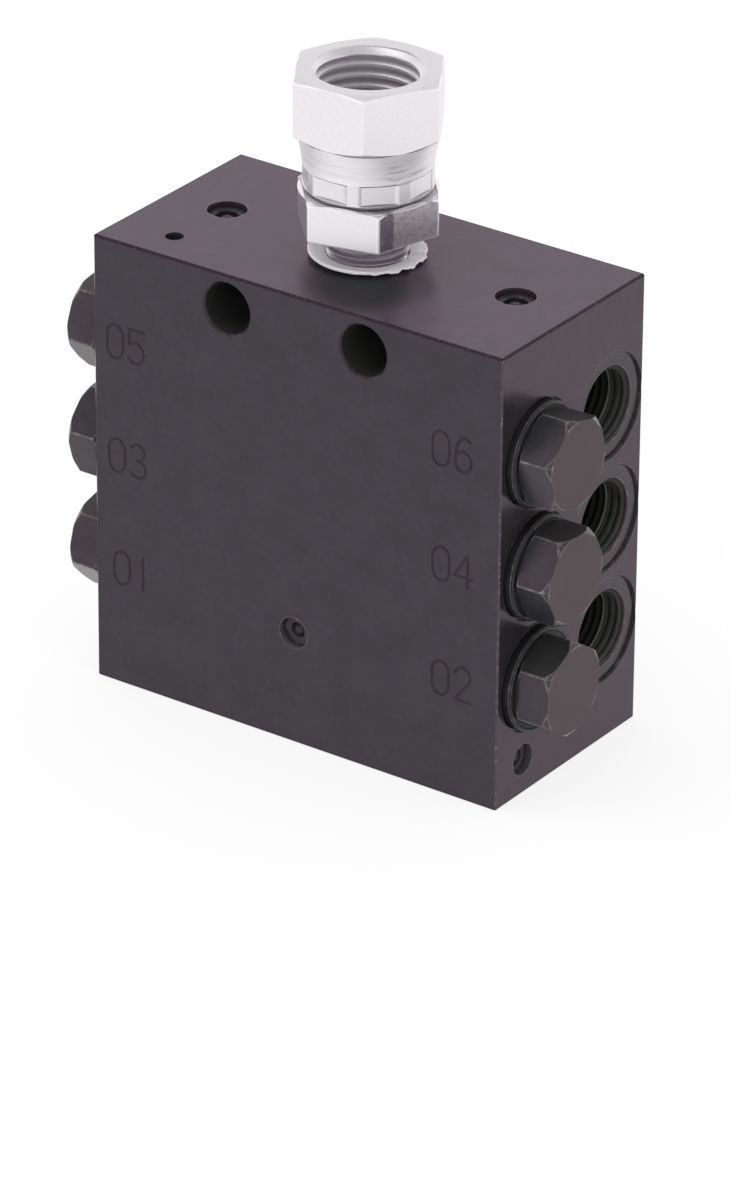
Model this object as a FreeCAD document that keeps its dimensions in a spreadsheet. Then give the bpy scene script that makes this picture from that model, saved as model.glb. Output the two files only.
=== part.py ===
import FreeCAD, Part
import Sketcher
import os
import re

# A progressive lubricant divider block: a drilled steel manifold with three sliding metering
# pistons, six end plugs on sealing washers, four pressed-in passage plugs and a swivel inlet.
# Frame: +Z up along the inlet, -Y the numbered front, +X the side with the even outlets.
# The origin is the middle of the block's underside. Lengths are millimetres.

SIZES = {
    # Block
    "block_width": 60.0,
    "block_depth": 30.0,
    "block_height": 60.0,
    "block_edge": 0.2,
    # Rows of pistons and outlets, counted upwards from the underside
    "first_row_height": 15.0,
    "row_pitch": 15.0,
    # Piston bores
    "piston_line_from_front": 7.7,
    "piston_bore": 6.0,
    "piston_clearance": 0.02,
    "piston_stroke": 7.0,
    "piston_end_land": 10.0,
    "piston_middle_land": 7.0,
    "piston_waist": 4.0,
    "piston_edge": 0.3,
    "piston_stop_gap": 0.1,
    # End plugs: a hexagon head on a screwed shank, closing a piston bore
    "plug_thread": 10.0,
    "plug_thread_clearance": 0.02,
    "plug_pocket_depth": 11.0,
    "plug_shank_length": 6.6,
    "plug_shank_edge": 0.8,
    "plug_flats": 11.0,
    "plug_head_height": 4.65,
    "plug_face_circle": 11.3,
    "plug_face_bevel": 45.0,
    "plug_seat_depth": 0.5,
    # Sealing washers under the end plugs
    "seal_outside": 13.3,
    "seal_thickness": 1.6,
    "seal_hole_clearance": 0.15,
    "seal_seat_clearance": 0.3,
    "seal_edge": 0.25,
    # How far each hexagon happens to be turned, in degrees
    "turn_left_lower": 76.5,
    "turn_left_middle": 43.0,
    "turn_left_upper": 21.0,
    "turn_right_lower": 56.3,
    "turn_right_middle": 26.8,
    "turn_right_upper": 14.7,
    # Outlets
    "outlet_line_from_back": 7.1,
    "outlet_thread": 10.0,
    "outlet_thread_depth": 9.0,
    "outlet_countersink": 10.3,
    "outlet_drill": 9.0,
    "outlet_drill_depth": 10.5,
    "outlet_point_depth": 2.6,
    "outlet_seat": 14.0,
    "outlet_seat_depth": 0.4,
    # Angled feed drillings from each outlet's floor to its piston bore
    "feed_drill": 2.5,
    "feed_landing": 10.0,
    "feed_mouth_offset": 3.4,
    # Mounting holes from front to back
    "mount_hole": 6.6,
    "mount_hole_spacing": 20.0,
    "mount_hole_drop": 4.5,
    "mount_hole_edge": 0.25,
    # Inlet port, screwed from the top with a tapered thread
    "inlet_thread": 10.0,
    "inlet_taper": 0.0625,
    "inlet_port_depth": 9.0,
    "inlet_thread_clearance": 0.03,
    "inlet_countersink": 0.4,
    "gallery_drill": 3.5,
    "gallery_start_offset": 2.4,
    "gallery_past_pistons": 3.3,
    "gallery_past_side_passage": 0.5,
    # Passage plugs: a sleeve spread by a ball in a stepped hole
    "top_plug": 5.0,
    "top_plug_inset": 8.75,
    "top_plug_offset": 0.4,
    "top_passage_drill": 2.6,
    "top_passage_below_row": 3.0,
    "top_ball": 2.8,
    "small_plug": 4.0,
    "small_ball": 2.0,
    "small_passage_drill": 2.2,
    "port_mouth_offset": 3.2,
    "port_drill": 2.2,
    "return_port_inset": 11.5,
    "side_plug_height": 4.7,
    "side_plug_from_front": 5.6,
    "side_passage_stop": 9.0,
    "passage_plug_recess": 0.7,
    "top_ball_room": 1.15,
    "small_ball_room": 0.15,
    "passage_plug_clearance": 0.01,
    "passage_plug_edge": 0.15,
    "sleeve_floor": 0.7,
    "ball_depth": 0.1,
    # Shallow blind hole on the top
    "locating_hole": 2.3,
    "locating_hole_depth": 0.9,
    "locating_hole_from_side": 8.3,
    "locating_hole_from_front": 5.3,
    # Inlet washer, dished by the neck
    "washer_outside": 14.6,
    "washer_thickness": 0.45,
    "washer_dish": 0.55,
    "washer_hole_clearance": 0.2,
    # Inlet stem
    "neck_height": 3.9,
    "stem_flats": 15.88,
    "stem_hexagon_height": 4.95,
    "stem_turn": 13.0,
    "stem_face_circle": 17.1,
    "stem_port_gap": 0.5,
    "stem_passage": 5.0,
    "stem_thread_edge": 0.8,
    "journal_width": 10.0,
    "collar_width": 12.6,
    "collar_height": 1.6,
    "nose_height": 2.3,
    "nose_width": 8.6,
    "nose_base_width": 11.4,
    # Swivel nut, crimped behind the stem's collar
    "nut_gap": 0.15,
    "nut_flats": 17.46,
    "nut_hexagon_height": 7.85,
    "nut_turn": 1.3,
    "nut_face_circle": 17.2,
    "nut_face_bevel": 12.0,
    "hexagon_bevel": 30.0,
    "hexagon_overcut": 0.5,
    "skirt_width": 16.0,
    "skirt_height": 7.35,
    "skirt_edge": 0.5,
    "shoulder_width": 17.0,
    "skirt_taper_height": 3.1,
    "lip_height": 2.9,
    "swivel_clearance": 0.08,
    "collar_clearance": 0.2,
    "collar_play": 0.2,
    "nut_thread": 13.6,
    "nut_countersink": 0.3,
    "crimp_pad_width": 4.5,
    "crimp_pad_height": 2.5,
    "crimp_pad_level": 0.65,
    "crimp_pad_depth": 0.4,
}
CRIMP_PADS = 8
ROWS = ("lower", "middle", "upper")
OUTER_ROWS = 2
SIDES = {"left": -1, "right": 1}

# How far the lines of bores, outlets and the side passage lie from the middle plane
PISTONS_FORWARD = "(block_depth / 2 - piston_line_from_front)"
OUTLETS_BACK = "(block_depth / 2 - outlet_line_from_back)"
SIDE_PASSAGE_FORWARD = "(block_depth / 2 - side_plug_from_front)"

doc = FreeCAD.newDocument("LubricantDivider")
sheet = doc.addObject("Spreadsheet::Sheet", "Sizes")
for line, (word, size) in enumerate(SIZES.items(), start=1):
    sheet.set(f"A{line}", word)
    sheet.set(f"B{line}", str(size))
    sheet.setAlias(f"B{line}", word)
doc.recompute()


def bound(rule):
    """A rule in the sheet's words, as an expression that any object can hold."""
    return re.sub(r"[a-z_]+", lambda w: "Sizes." + w.group() if w.group() in SIZES else w.group(), rule)


def worth(rule):
    """The number that a rule gives now."""
    value = sheet.evalExpression(bound(rule))
    return float(getattr(value, "Value", value))


def origin_plane(body, role):
    """The body's own XY, XZ or YZ plane."""
    return next(f for f in body.Origin.OriginFeatures if f.Role == role + "_Plane")


def origin_axis(body, role):
    """The body's own X, Y or Z axis."""
    return next(f for f in body.Origin.OriginFeatures if f.Role == role + "_Axis")


def new_body(label):
    """An empty body that carries the name of its piece."""
    body = doc.addObject("PartDesign::Body", label)
    body.Label = label
    return body


def outline(body, name, plane, corners, shift=("0", "0", "0"), angle="0"):
    """A closed outline of straight lines on a plane of the body, with every corner bound to the sheet."""
    sketch = body.newObject("Sketcher::SketchObject", name)
    sketch.AttachmentSupport = [(origin_plane(body, plane), "")]
    sketch.MapMode = "FlatFace"
    for way, rule in zip("xyz", shift):
        sketch.setExpression(f"AttachmentOffset.Base.{way}", bound(rule))
    if angle != "0":
        sketch.setExpression("AttachmentOffset.Rotation.Angle", bound(angle))
    points = [FreeCAD.Vector(worth(across), worth(up), 0) for across, up in corners]
    count = len(points)
    sketch.addGeometry([Part.LineSegment(points[k], points[(k + 1) % count]) for k in range(count)])
    for k in range(count):
        sketch.addConstraint(Sketcher.Constraint("Coincident", k, 2, (k + 1) % count, 1))
    for k, (across, up) in enumerate(corners):
        for kind, rule, now in (("DistanceX", across, points[k].x), ("DistanceY", up, points[k].y)):
            index = sketch.addConstraint(Sketcher.Constraint(kind, k, 1, now))
            sketch.setExpression(f"Constraints[{index}]", bound(rule))
    return sketch


def turned(body, name, kind, plane, corners, axis, shift=("0", "0", "0"), angle="0"):
    """Material added (Revolution) or taken away (Groove) by turning an outline about its sketch's axis."""
    sketch = outline(body, name + "_outline", plane, corners, shift, angle)
    feature = body.newObject("PartDesign::" + kind, name)
    feature.Profile = sketch
    feature.ReferenceAxis = (sketch, [axis])
    feature.Angle = 360
    return feature


def raised(body, name, kind, sketch, length):
    """A Pad or Pocket whose length follows the sheet."""
    feature = body.newObject("PartDesign::" + kind, name)
    feature.Profile = sketch
    feature.setExpression("Length", bound(length))
    return feature


def hexagon(flats, turn):
    """Corners of a hexagon measured across its flats, with the first corner turned from the first axis."""
    return [(f"{flats} / sqrt(3) * cos({turn} + {60 * k})", f"{flats} / sqrt(3) * sin({turn} + {60 * k})")
            for k in range(6)]


def bevelled(body, name, flats, circle, level, inwards, slope="hexagon_bevel"):
    """Cone that takes a hexagon's corners away outside a circle on the face at a level."""
    reach = f"{flats} / sqrt(3) + hexagon_overcut"
    corners = [
        (f"{circle} / 2", level),
        (reach, level),
        (reach, f"{level} {inwards} ({reach} - {circle} / 2) * tan({slope})"),
    ]
    return turned(body, name, "Groove", "XZ", corners, "V_Axis")


def placed(body, position, yaw="0", pitch="0"):
    """Put a body where the rules say, with its own Z tipped by the pitch and then swung by the yaw."""
    where = "; ".join(position)
    body.setExpression("Placement", bound(f"placement(vector({where}); rotation({yaw}; {pitch}; 0))"))


def row_height(row):
    """Height of a row's axis above the underside."""
    return f"first_row_height + {ROWS.index(row)} * row_pitch"


def aimed(body, name, plane, width, lift, start, target):
    """A straight drilling in a lifted plane, from a start point to the point that it is aimed at."""
    across, up = (f"({t}) - ({s})" for s, t in zip(start, target))
    reach = f"sqrt(({across}) ^ 2 + ({up}) ^ 2)"
    steps = [("0", "0"), (reach, "0"), (reach, f"{width} / 2"), ("0", f"{width} / 2")]
    return turned(body, name, "Groove", plane, steps, "H_Axis", (*start, lift), f"atan2({up}; {across})")


def plug_length(size):
    """Length of a passage plug's sleeve: the ball, the room round it and the floor under it."""
    return f"(ball_depth + {size}_ball + {size}_ball_room + sleeve_floor)"


def passage(body, name, plane, axis, size, drill, reach, face, shift):
    """A drilling opened up at its mouth to hold a passage plug. It runs inwards from a face at a level."""
    inwards = "+" if face.startswith("-") else "-"
    seat = f"{face} {inwards} (passage_plug_recess + {plug_length(size)})"
    steps = [(face, "0"), (face, f"{size}_plug / 2"), (seat, f"{size}_plug / 2"), (seat, f"{drill} / 2"),
             (f"{face} {inwards} {reach}", f"{drill} / 2"), (f"{face} {inwards} {reach}", "0")]
    if axis == "V_Axis":
        steps = [(out, along) for along, out in steps]
    return turned(body, name, "Groove", plane, steps, axis, shift)


def pattern_along_rows(body, name, count):
    """A pattern upwards from the lowest row to the highest, with this many copies."""
    rows = body.newObject("PartDesign::LinearPattern", name)
    rows.Direction = (origin_axis(body, "Z"), [""])
    rows.setExpression("Length", bound(f"{len(ROWS) - 1} * row_pitch"))
    rows.Occurrences = count
    return rows


def in_rows(body, name, feature):
    """Repeat a cut at every row."""
    rows = pattern_along_rows(body, name, len(ROWS))
    rows.Originals = [feature]
    body.Tip = rows
    doc.recompute()
    return rows


def mirrored(body, name, feature):
    """Repeat a cut on the other side of the middle plane."""
    mirror = body.newObject("PartDesign::Mirrored", name)
    mirror.Originals = [feature]
    mirror.MirrorPlane = (origin_plane(body, "YZ"), [""])
    body.Tip = mirror
    doc.recompute()
    return mirror


def on_both_sides(body, name, feature, count=len(ROWS)):
    """Repeat a cut on both sides, at every row or at the lowest and highest only."""
    both = body.newObject("PartDesign::MultiTransform", name)
    both.Originals = [feature]
    rows = pattern_along_rows(body, name + "_rows", count)
    mirror = body.newObject("PartDesign::Mirrored", name + "_mirror")
    mirror.MirrorPlane = (origin_plane(body, "YZ"), [""])
    both.Transformations = [rows, mirror]
    body.Tip = both
    doc.recompute()
    return both


def valve_block():
    """The manifold: a squared steel block with every bore, port, seat and drilling."""
    body = new_body("valve_block")
    half_width, half_depth = "block_width / 2", "block_depth / 2"
    plan = outline(body, "plan", "XY", [
        (f"-{half_width}", f"-{half_depth}"), (half_width, f"-{half_depth}"),
        (half_width, half_depth), (f"-{half_width}", half_depth)])
    blank = raised(body, "blank", "Pad", plan, "block_height")
    doc.recompute()
    edges = body.newObject("PartDesign::Chamfer", "edges")
    edges.Base = (blank, [f"Edge{k + 1}" for k in range(len(blank.Shape.Edges))])
    edges.setExpression("Size", bound("block_edge"))
    doc.recompute()

    # Piston line: seat, screwed pocket and bore, the same from both sides
    floor = "block_width / 2 - plug_pocket_depth"
    seat = "block_width / 2 - plug_seat_depth"
    rim = "seal_outside / 2 + seal_seat_clearance"
    right = [("block_width / 2", rim), (seat, rim), (seat, "plug_thread / 2"),
             (floor, "plug_thread / 2"), (floor, "piston_bore / 2")]
    left = [(f"-({across})", up) for across, up in reversed(right)]
    line = [("block_width / 2", "0")] + right + left + [("-block_width / 2", "0")]
    pistons = turned(body, "piston_line", "Groove", "XZ", line, "H_Axis",
                     ("0", "first_row_height", PISTONS_FORWARD))
    in_rows(body, "piston_lines", pistons)

    # Outlets: seat, countersink, screwed hole, tap drilling and its point
    seat = "block_width / 2 - outlet_seat_depth"
    mouth = "(outlet_countersink - outlet_thread) / 2"
    right = [("block_width / 2", "0"), ("block_width / 2", "outlet_seat / 2"), (seat, "outlet_seat / 2"),
             (seat, "outlet_countersink / 2"), (f"{seat} - {mouth}", "outlet_thread / 2"),
             ("block_width / 2 - outlet_thread_depth", "outlet_thread / 2"),
             ("block_width / 2 - outlet_thread_depth", "outlet_drill / 2"),
             ("block_width / 2 - outlet_drill_depth", "outlet_drill / 2"),
             ("block_width / 2 - outlet_drill_depth - outlet_point_depth", "0")]
    outlet = turned(body, "outlet", "Groove", "XZ", right, "H_Axis",
                    ("0", "first_row_height", f"-{OUTLETS_BACK}"))
    on_both_sides(body, "outlets", outlet)

    # Feed drillings, aimed through each outlet's mouth at the near wall of its piston bore
    feed = aimed(body, "feed", "XY", "feed_drill", "first_row_height",
                 ("block_width / 2", f"{OUTLETS_BACK} + feed_mouth_offset"),
                 ("feed_landing", f"piston_bore / 2 - {PISTONS_FORWARD}"))
    on_both_sides(body, "feeds", feed)

    # Transfer ports, aimed through the lower and upper end pockets at the tall top passages
    transfer = aimed(body, "transfer_port", "XY", "port_drill", "first_row_height",
                     ("block_width / 2", f"-{PISTONS_FORWARD} - port_mouth_offset"),
                     ("block_width / 2 - top_plug_inset", "top_plug_offset"))
    on_both_sides(body, "transfer_ports", transfer, OUTER_ROWS)

    # Mounting holes from front to back, with their edges broken
    face, wall = "block_depth / 2", "mount_hole / 2"
    mount = turned(body, "mounting_hole", "Groove", "XY", [
        ("0", f"-{face}"), (f"{wall} + mount_hole_edge", f"-{face}"), (wall, f"-{face} + mount_hole_edge"),
        (wall, f"{face} - mount_hole_edge"), (f"{wall} + mount_hole_edge", face), ("0", face)],
        "V_Axis", ("mount_hole_spacing / 2", "0", "block_height - mount_hole_drop"))
    mirrored(body, "mounting_holes", mount)

    # Inlet port with its tapered wall, and the gallery sloping down past the three piston bores
    mouth = "inlet_thread / 2 + inlet_thread_clearance"
    turned(body, "inlet_port", "Groove", "XZ", [
        ("0", "block_height"), (f"{mouth} + inlet_countersink", "block_height"),
        (mouth, "block_height - inlet_countersink"),
        (f"{mouth} - inlet_port_depth * inlet_taper / 2", "block_height - inlet_port_depth"),
        ("0", "block_height - inlet_port_depth")], "V_Axis")
    aimed(body, "gallery", "YZ", "gallery_drill", "0",
          ("-gallery_start_offset", "block_height - inlet_port_depth"),
          (f"-{PISTONS_FORWARD} - gallery_past_pistons", "side_plug_height - gallery_past_side_passage"))

    # Passages that are drilled from outside and then plugged
    tall = passage(body, "top_passage", "XZ", "V_Axis", "top", "top_passage_drill",
                   "(block_height - first_row_height + top_passage_below_row)",
                   "block_height", ("block_width / 2 - top_plug_inset", "0", "-top_plug_offset"))
    mirrored(body, "top_passages", tall)
    passage(body, "front_passage", "XY", "V_Axis", "small", "small_passage_drill",
            "block_depth / 2", "-block_depth / 2", ("0", "0", "first_row_height"))
    passage(body, "side_passage", "XZ", "H_Axis", "small", "small_passage_drill",
            "(block_width - side_passage_stop)",
            "block_width / 2", ("0", "side_plug_height", SIDE_PASSAGE_FORWARD))
    aimed(body, "return_port", "XZ", "port_drill", SIDE_PASSAGE_FORWARD,
          ("-block_width / 2", "first_row_height + port_mouth_offset"),
          ("return_port_inset - block_width / 2", "side_plug_height"))

    # Shallow blind hole that marks the block's upper left front
    turned(body, "locating_hole", "Groove", "XZ", [
        ("0", "block_height"), ("locating_hole / 2", "block_height"),
        ("locating_hole / 2", "block_height - locating_hole_depth"),
        ("0", "block_height - locating_hole_depth")], "V_Axis",
        ("locating_hole_from_side - block_width / 2", "0", "block_depth / 2 - locating_hole_from_front"))
    return body


def hexagon_on(body, name, flats, turn, level):
    """Sketch of a hexagon at a level of the body."""
    return outline(body, name, "XY", hexagon(flats, turn), ("0", "0", level))


def end_plug(side, row):
    """Hexagon head and screwed shank. The plug's own Z points out of the block, from its side face."""
    body = new_body(f"end_plug_{side}_{row}")
    under = "seal_thickness - plug_seat_depth"
    head = hexagon_on(body, "head_outline", "plug_flats", f"turn_{side}_{row}", under)
    raised(body, "head", "Pad", head, "plug_head_height")
    bevelled(body, "head_bevel", "plug_flats", "plug_face_circle", f"{under} + plug_head_height", "-",
             "plug_face_bevel")
    bevelled(body, "foot_bevel", "plug_flats", "plug_face_circle", under, "+")
    wall = "plug_thread / 2 - plug_thread_clearance"
    end = f"{under} - plug_shank_length"
    turned(body, "shank", "Revolution", "XZ", [
        ("0", under), (wall, under), (wall, f"{end} + plug_shank_edge"),
        (f"{wall} - plug_shank_edge", end), ("0", end)], "V_Axis")
    beside(body, side, row)
    return body


def plug_seal(side, row):
    """Flat washer between a plug's head and its seat, with its edges broken."""
    body = new_body(f"plug_seal_{side}_{row}")
    hole, rim = "plug_thread / 2 + seal_hole_clearance", "seal_outside / 2"
    low, high = "-plug_seat_depth", "seal_thickness - plug_seat_depth"
    turned(body, "ring", "Revolution", "XZ", [
        (hole, low), (f"{rim} - seal_edge", low), (rim, f"{low} + seal_edge"),
        (rim, f"{high} - seal_edge"), (f"{rim} - seal_edge", high), (hole, high)], "V_Axis")
    beside(body, side, row)
    return body


def beside(body, side, row):
    """Put a body on a side face at the end of a row's piston line, with its own Z pointing out."""
    sign = SIDES[side]
    placed(body, (f"{sign} * block_width / 2", f"-{PISTONS_FORWARD}", row_height(row)), pitch=f"{90 * sign}")


def piston(row):
    """Metering spool: three lands and two waists, resting at its left stop."""
    body = new_body(f"piston_{row}")
    land, waist = "piston_bore / 2 - piston_clearance", "piston_waist / 2"
    end = ("(block_width / 2 - plug_seat_depth + seal_thickness - plug_shank_length"
           " - piston_stroke / 2 - piston_stop_gap)")
    right = [(end, "0"), (end, f"{land} - piston_edge"), (f"{end} - piston_edge", land),
             (f"{end} - piston_end_land", land), (f"{end} - piston_end_land", waist),
             ("piston_middle_land / 2", waist), ("piston_middle_land / 2", land)]
    left = [(f"-({along})", out) for along, out in reversed(right)]
    turned(body, "spool", "Revolution", "XZ", right + left, "H_Axis")
    placed(body, ("-piston_stroke / 2", f"-{PISTONS_FORWARD}", row_height(row)))
    return body


PASSAGE_PLUGS = {
    "top_left": ("top", ("top_plug_inset - block_width / 2", "top_plug_offset", "block_height"), "0", "0"),
    "top_right": ("top", ("block_width / 2 - top_plug_inset", "top_plug_offset", "block_height"), "0", "0"),
    "front": ("small", ("0", "-block_depth / 2", "first_row_height"), "-90", "90"),
    "side": ("small", ("block_width / 2", f"-{SIDE_PASSAGE_FORWARD}", "side_plug_height"), "0", "90"),
}


def passage_sleeve(place):
    """Cup pressed into a drilling's stepped mouth. Its own Z points out of the block."""
    size, position, yaw, pitch = PASSAGE_PLUGS[place]
    body = new_body(f"passage_sleeve_{place}")
    wall, bore = f"{size}_plug / 2 - passage_plug_clearance", f"{size}_ball / 2 + passage_plug_clearance"
    rim = "-passage_plug_recess"
    base = f"{rim} - {plug_length(size)}"
    turned(body, "cup", "Revolution", "XZ", [
        ("0", base), (wall, base), (wall, f"{rim} - passage_plug_edge"), (f"{wall} - passage_plug_edge", rim),
        (f"{bore} + passage_plug_edge", rim), (bore, f"{rim} - passage_plug_edge"),
        (bore, f"{base} + sleeve_floor"), ("0", f"{base} + sleeve_floor")], "V_Axis")
    placed(body, position, yaw, pitch)
    return body


def passage_ball(place):
    """Ball driven into the sleeve, which spreads it against the drilling."""
    size, position, yaw, pitch = PASSAGE_PLUGS[place]
    ball = doc.addObject("Part::Sphere", f"passage_ball_{place}")
    ball.Label = ball.Name
    ball.setExpression("Radius", bound(f"{size}_ball / 2"))
    depth = f"passage_plug_recess + ball_depth + {size}_ball / 2"
    inwards = {"top": (0, 0, -1), "front": (0, 1, 0), "side": (-1, 0, 0)}[place.split("_")[0]]
    where = "; ".join(f"{at} + {way} * ({depth})" for at, way in zip(position, inwards))
    ball.setExpression("Placement", bound(f"placement(vector({where}); rotation(0; 0; 0))"))
    return ball


def inlet_washer():
    """Thin sealing washer round the inlet neck, dished so that its rim stands off the block."""
    body = new_body("inlet_washer")
    hole, rim = "inlet_thread / 2 + washer_hole_clearance", "washer_outside / 2"
    turned(body, "dish", "Revolution", "XZ", [
        (hole, "0"), (rim, "washer_dish"), (rim, "washer_dish + washer_thickness"),
        (hole, "washer_thickness")], "V_Axis")
    on_top(body)
    return body


def inlet_stem():
    """Adapter: a tapered screwed end, a hexagon, a journal and the collar that holds the swivel nut."""
    body = new_body("inlet_stem")
    top = "neck_height + stem_hexagon_height"
    flats = hexagon_on(body, "hexagon_outline", "stem_flats", "stem_turn", "neck_height")
    raised(body, "hexagon", "Pad", flats, "stem_hexagon_height")
    bevelled(body, "hexagon_bevel_above", "stem_flats", "stem_face_circle", top, "-")
    end = "stem_port_gap - inlet_port_depth"
    neck = "inlet_thread / 2"
    tapered = f"{neck} + ({end}) * inlet_taper / 2"
    turned(body, "screwed_end", "Revolution", "XZ", [
        ("0", end), (f"{tapered} - stem_thread_edge", end), (tapered, f"{end} + stem_thread_edge"),
        (f"{neck} + neck_height * inlet_taper / 2", "neck_height"), ("0", "neck_height")], "V_Axis")
    collar = f"{top} + nut_gap + lip_height + collar_play"
    turned(body, "swivel_end", "Revolution", "XZ", [
        ("0", top), ("journal_width / 2", top), ("journal_width / 2", collar), ("collar_width / 2", collar),
        ("collar_width / 2", f"{collar} + collar_height"),
        ("nose_base_width / 2", f"{collar} + collar_height"),
        ("nose_width / 2", f"{collar} + collar_height + nose_height"),
        ("0", f"{collar} + collar_height + nose_height")], "V_Axis")
    turned(body, "passage", "Groove", "XZ", [
        ("0", end), ("stem_passage / 2", end),
        ("stem_passage / 2", f"{collar} + collar_height + nose_height"),
        ("0", f"{collar} + collar_height + nose_height")], "V_Axis")
    on_top(body)
    return body


def swivel_nut():
    """Nut with a screwed mouth, a hexagon and a skirt crimped in behind the stem's collar."""
    body = new_body("swivel_nut")
    low = "(neck_height + stem_hexagon_height + nut_gap)"
    under = f"({low} + skirt_height)"
    top = f"({under} + nut_hexagon_height)"
    flats = hexagon_on(body, "hexagon_outline", "nut_flats", "nut_turn", under)
    raised(body, "hexagon", "Pad", flats, "nut_hexagon_height")
    bevelled(body, "bevel_above", "nut_flats", "nut_face_circle", top, "-", "nut_face_bevel")
    bevelled(body, "bevel_below", "nut_flats", "shoulder_width", under, "+")
    skirt = "skirt_width / 2"
    turned(body, "skirt", "Revolution", "XZ", [
        ("0", low), (f"{skirt} - skirt_edge", low), (skirt, f"{low} + skirt_edge"),
        (skirt, f"{under} - skirt_taper_height"), ("shoulder_width / 2", under), ("0", under)], "V_Axis")
    lip, cavity = "journal_width / 2 + swivel_clearance", "collar_width / 2 + collar_clearance"
    turned(body, "bore", "Groove", "XZ", [
        ("0", low), (lip, low), (lip, f"{low} + lip_height"), (cavity, f"{low} + lip_height"),
        (cavity, under), ("nut_thread / 2", under), ("nut_thread / 2", f"{top} - nut_countersink"),
        ("nut_thread / 2 + nut_countersink", top), ("0", top)], "V_Axis")
    doc.recompute()
    foot = f"{low} + crimp_pad_level"
    pad = outline(body, "crimp_outline", "YZ", [
        ("-crimp_pad_width / 2", foot), ("crimp_pad_width / 2", foot),
        ("crimp_pad_width / 2", f"{foot} + crimp_pad_height"),
        ("-crimp_pad_width / 2", f"{foot} + crimp_pad_height")],
        ("0", "0", "skirt_width / 2 - crimp_pad_depth"))
    crimp = raised(body, "crimp", "Pocket", pad, "crimp_pad_depth + skirt_edge")
    crimp.Reversed = True
    ring = body.newObject("PartDesign::PolarPattern", "crimps")
    ring.Originals = [crimp]
    ring.Axis = (origin_axis(body, "Z"), [""])
    ring.Angle = 360
    ring.Occurrences = CRIMP_PADS
    body.Tip = ring
    on_top(body)
    return body


def on_top(body):
    """Put a body on the inlet's axis, with its own origin on the block's top face."""
    placed(body, ("0", "0", "block_height"))


def build():
    """Every separate piece of the divider, in the order in which it is put together."""
    pieces = [valve_block()]
    pieces += [piston(row) for row in ROWS]
    for side in SIDES:
        for row in ROWS:
            pieces += [plug_seal(side, row), end_plug(side, row)]
    for place in PASSAGE_PLUGS:
        pieces += [passage_sleeve(place), passage_ball(place)]
    pieces += [inlet_washer(), inlet_stem(), swivel_nut()]
    doc.recompute()
    return pieces


def export(pieces):
    """Stop if anything failed, then write each piece under its label."""
    failed = [thing.Label for thing in doc.Objects if {"Invalid", "Error"} & set(thing.State)]
    failed += [piece.Label for piece in pieces if piece.Shape.isNull() or not piece.Shape.isValid()]
    if failed:
        raise RuntimeError("these did not build: " + ", ".join(failed))
    os.makedirs("parts", exist_ok=True)
    for piece in pieces:
        piece.Shape.exportStep(f"parts/{piece.Label}.step")
        print(f"{piece.Label}: {len(piece.Shape.Solids)} solid, {piece.Shape.Volume:.1f} cubic mm")


export(build())
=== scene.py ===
import bmesh
import bpy
import numpy as np
from mathutils import Matrix, Vector


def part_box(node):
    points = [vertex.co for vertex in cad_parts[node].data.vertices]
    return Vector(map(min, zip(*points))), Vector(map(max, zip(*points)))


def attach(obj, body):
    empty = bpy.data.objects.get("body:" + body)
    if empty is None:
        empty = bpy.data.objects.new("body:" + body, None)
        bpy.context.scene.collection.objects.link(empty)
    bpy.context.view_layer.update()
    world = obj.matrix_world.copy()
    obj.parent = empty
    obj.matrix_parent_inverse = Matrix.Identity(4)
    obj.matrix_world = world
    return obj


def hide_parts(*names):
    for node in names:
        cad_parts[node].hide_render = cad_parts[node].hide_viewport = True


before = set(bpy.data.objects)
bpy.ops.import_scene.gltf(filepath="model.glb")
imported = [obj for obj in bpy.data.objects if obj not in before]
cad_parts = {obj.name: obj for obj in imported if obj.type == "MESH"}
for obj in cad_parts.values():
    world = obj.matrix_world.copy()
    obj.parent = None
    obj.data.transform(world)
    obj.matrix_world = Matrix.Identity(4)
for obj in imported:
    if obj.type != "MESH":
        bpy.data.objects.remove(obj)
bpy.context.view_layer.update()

# The block
# One piece of free-cutting steel, sawn and milled square, drilled from every side and then
# blackened in a hot oxide bath. The bath leaves a satin skin that is rougher on the broken edges.
# Each outlet's number is scribed beside it on the front with a fine rotating point.
MM = 0.001
BLOCK_LOW, BLOCK_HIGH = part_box("valve_block")
BLOCK_EDGE = 0.2
OUTLET_LINE, PISTON_LINE, ROW_HEIGHTS = 7.9, -7.3, {"lower": 15.0, "middle": 30.0, "upper": 45.0}
SEAT_LEVEL, SEAT_RADIUS, MOUTH_RADIUS, PLUG_SEAT_RADIUS = 29.6, 7.0, 5.15, 6.95
FLAT_SHADING_ANGLE = np.radians(25)


class Link:
    """A shader socket that works in sums: each operator adds one Math node."""

    def __init__(self, finish, socket):
        self.finish = finish
        self.socket = socket

    def maths(self, operation, first, second):
        return self.finish.node("Math", {"operation": operation}, {0: first, 1: second})

    def __add__(self, other):
        return self.maths("ADD", self, other)

    def __sub__(self, other):
        return self.maths("SUBTRACT", self, other)

    def __rsub__(self, other):
        return self.maths("SUBTRACT", other, self)

    def __mul__(self, other):
        return self.maths("MULTIPLY", self, other)

    def __truediv__(self, other):
        return self.maths("DIVIDE", self, other)

    def __rtruediv__(self, other):
        return self.maths("DIVIDE", other, self)

    __radd__ = __add__
    __rmul__ = __mul__

    def lowest(self, other):
        return self.maths("MINIMUM", self, other)

    def highest(self, other):
        return self.maths("MAXIMUM", self, other)

    def size(self):
        return self.maths("ABSOLUTE", self, 0.0)


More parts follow.
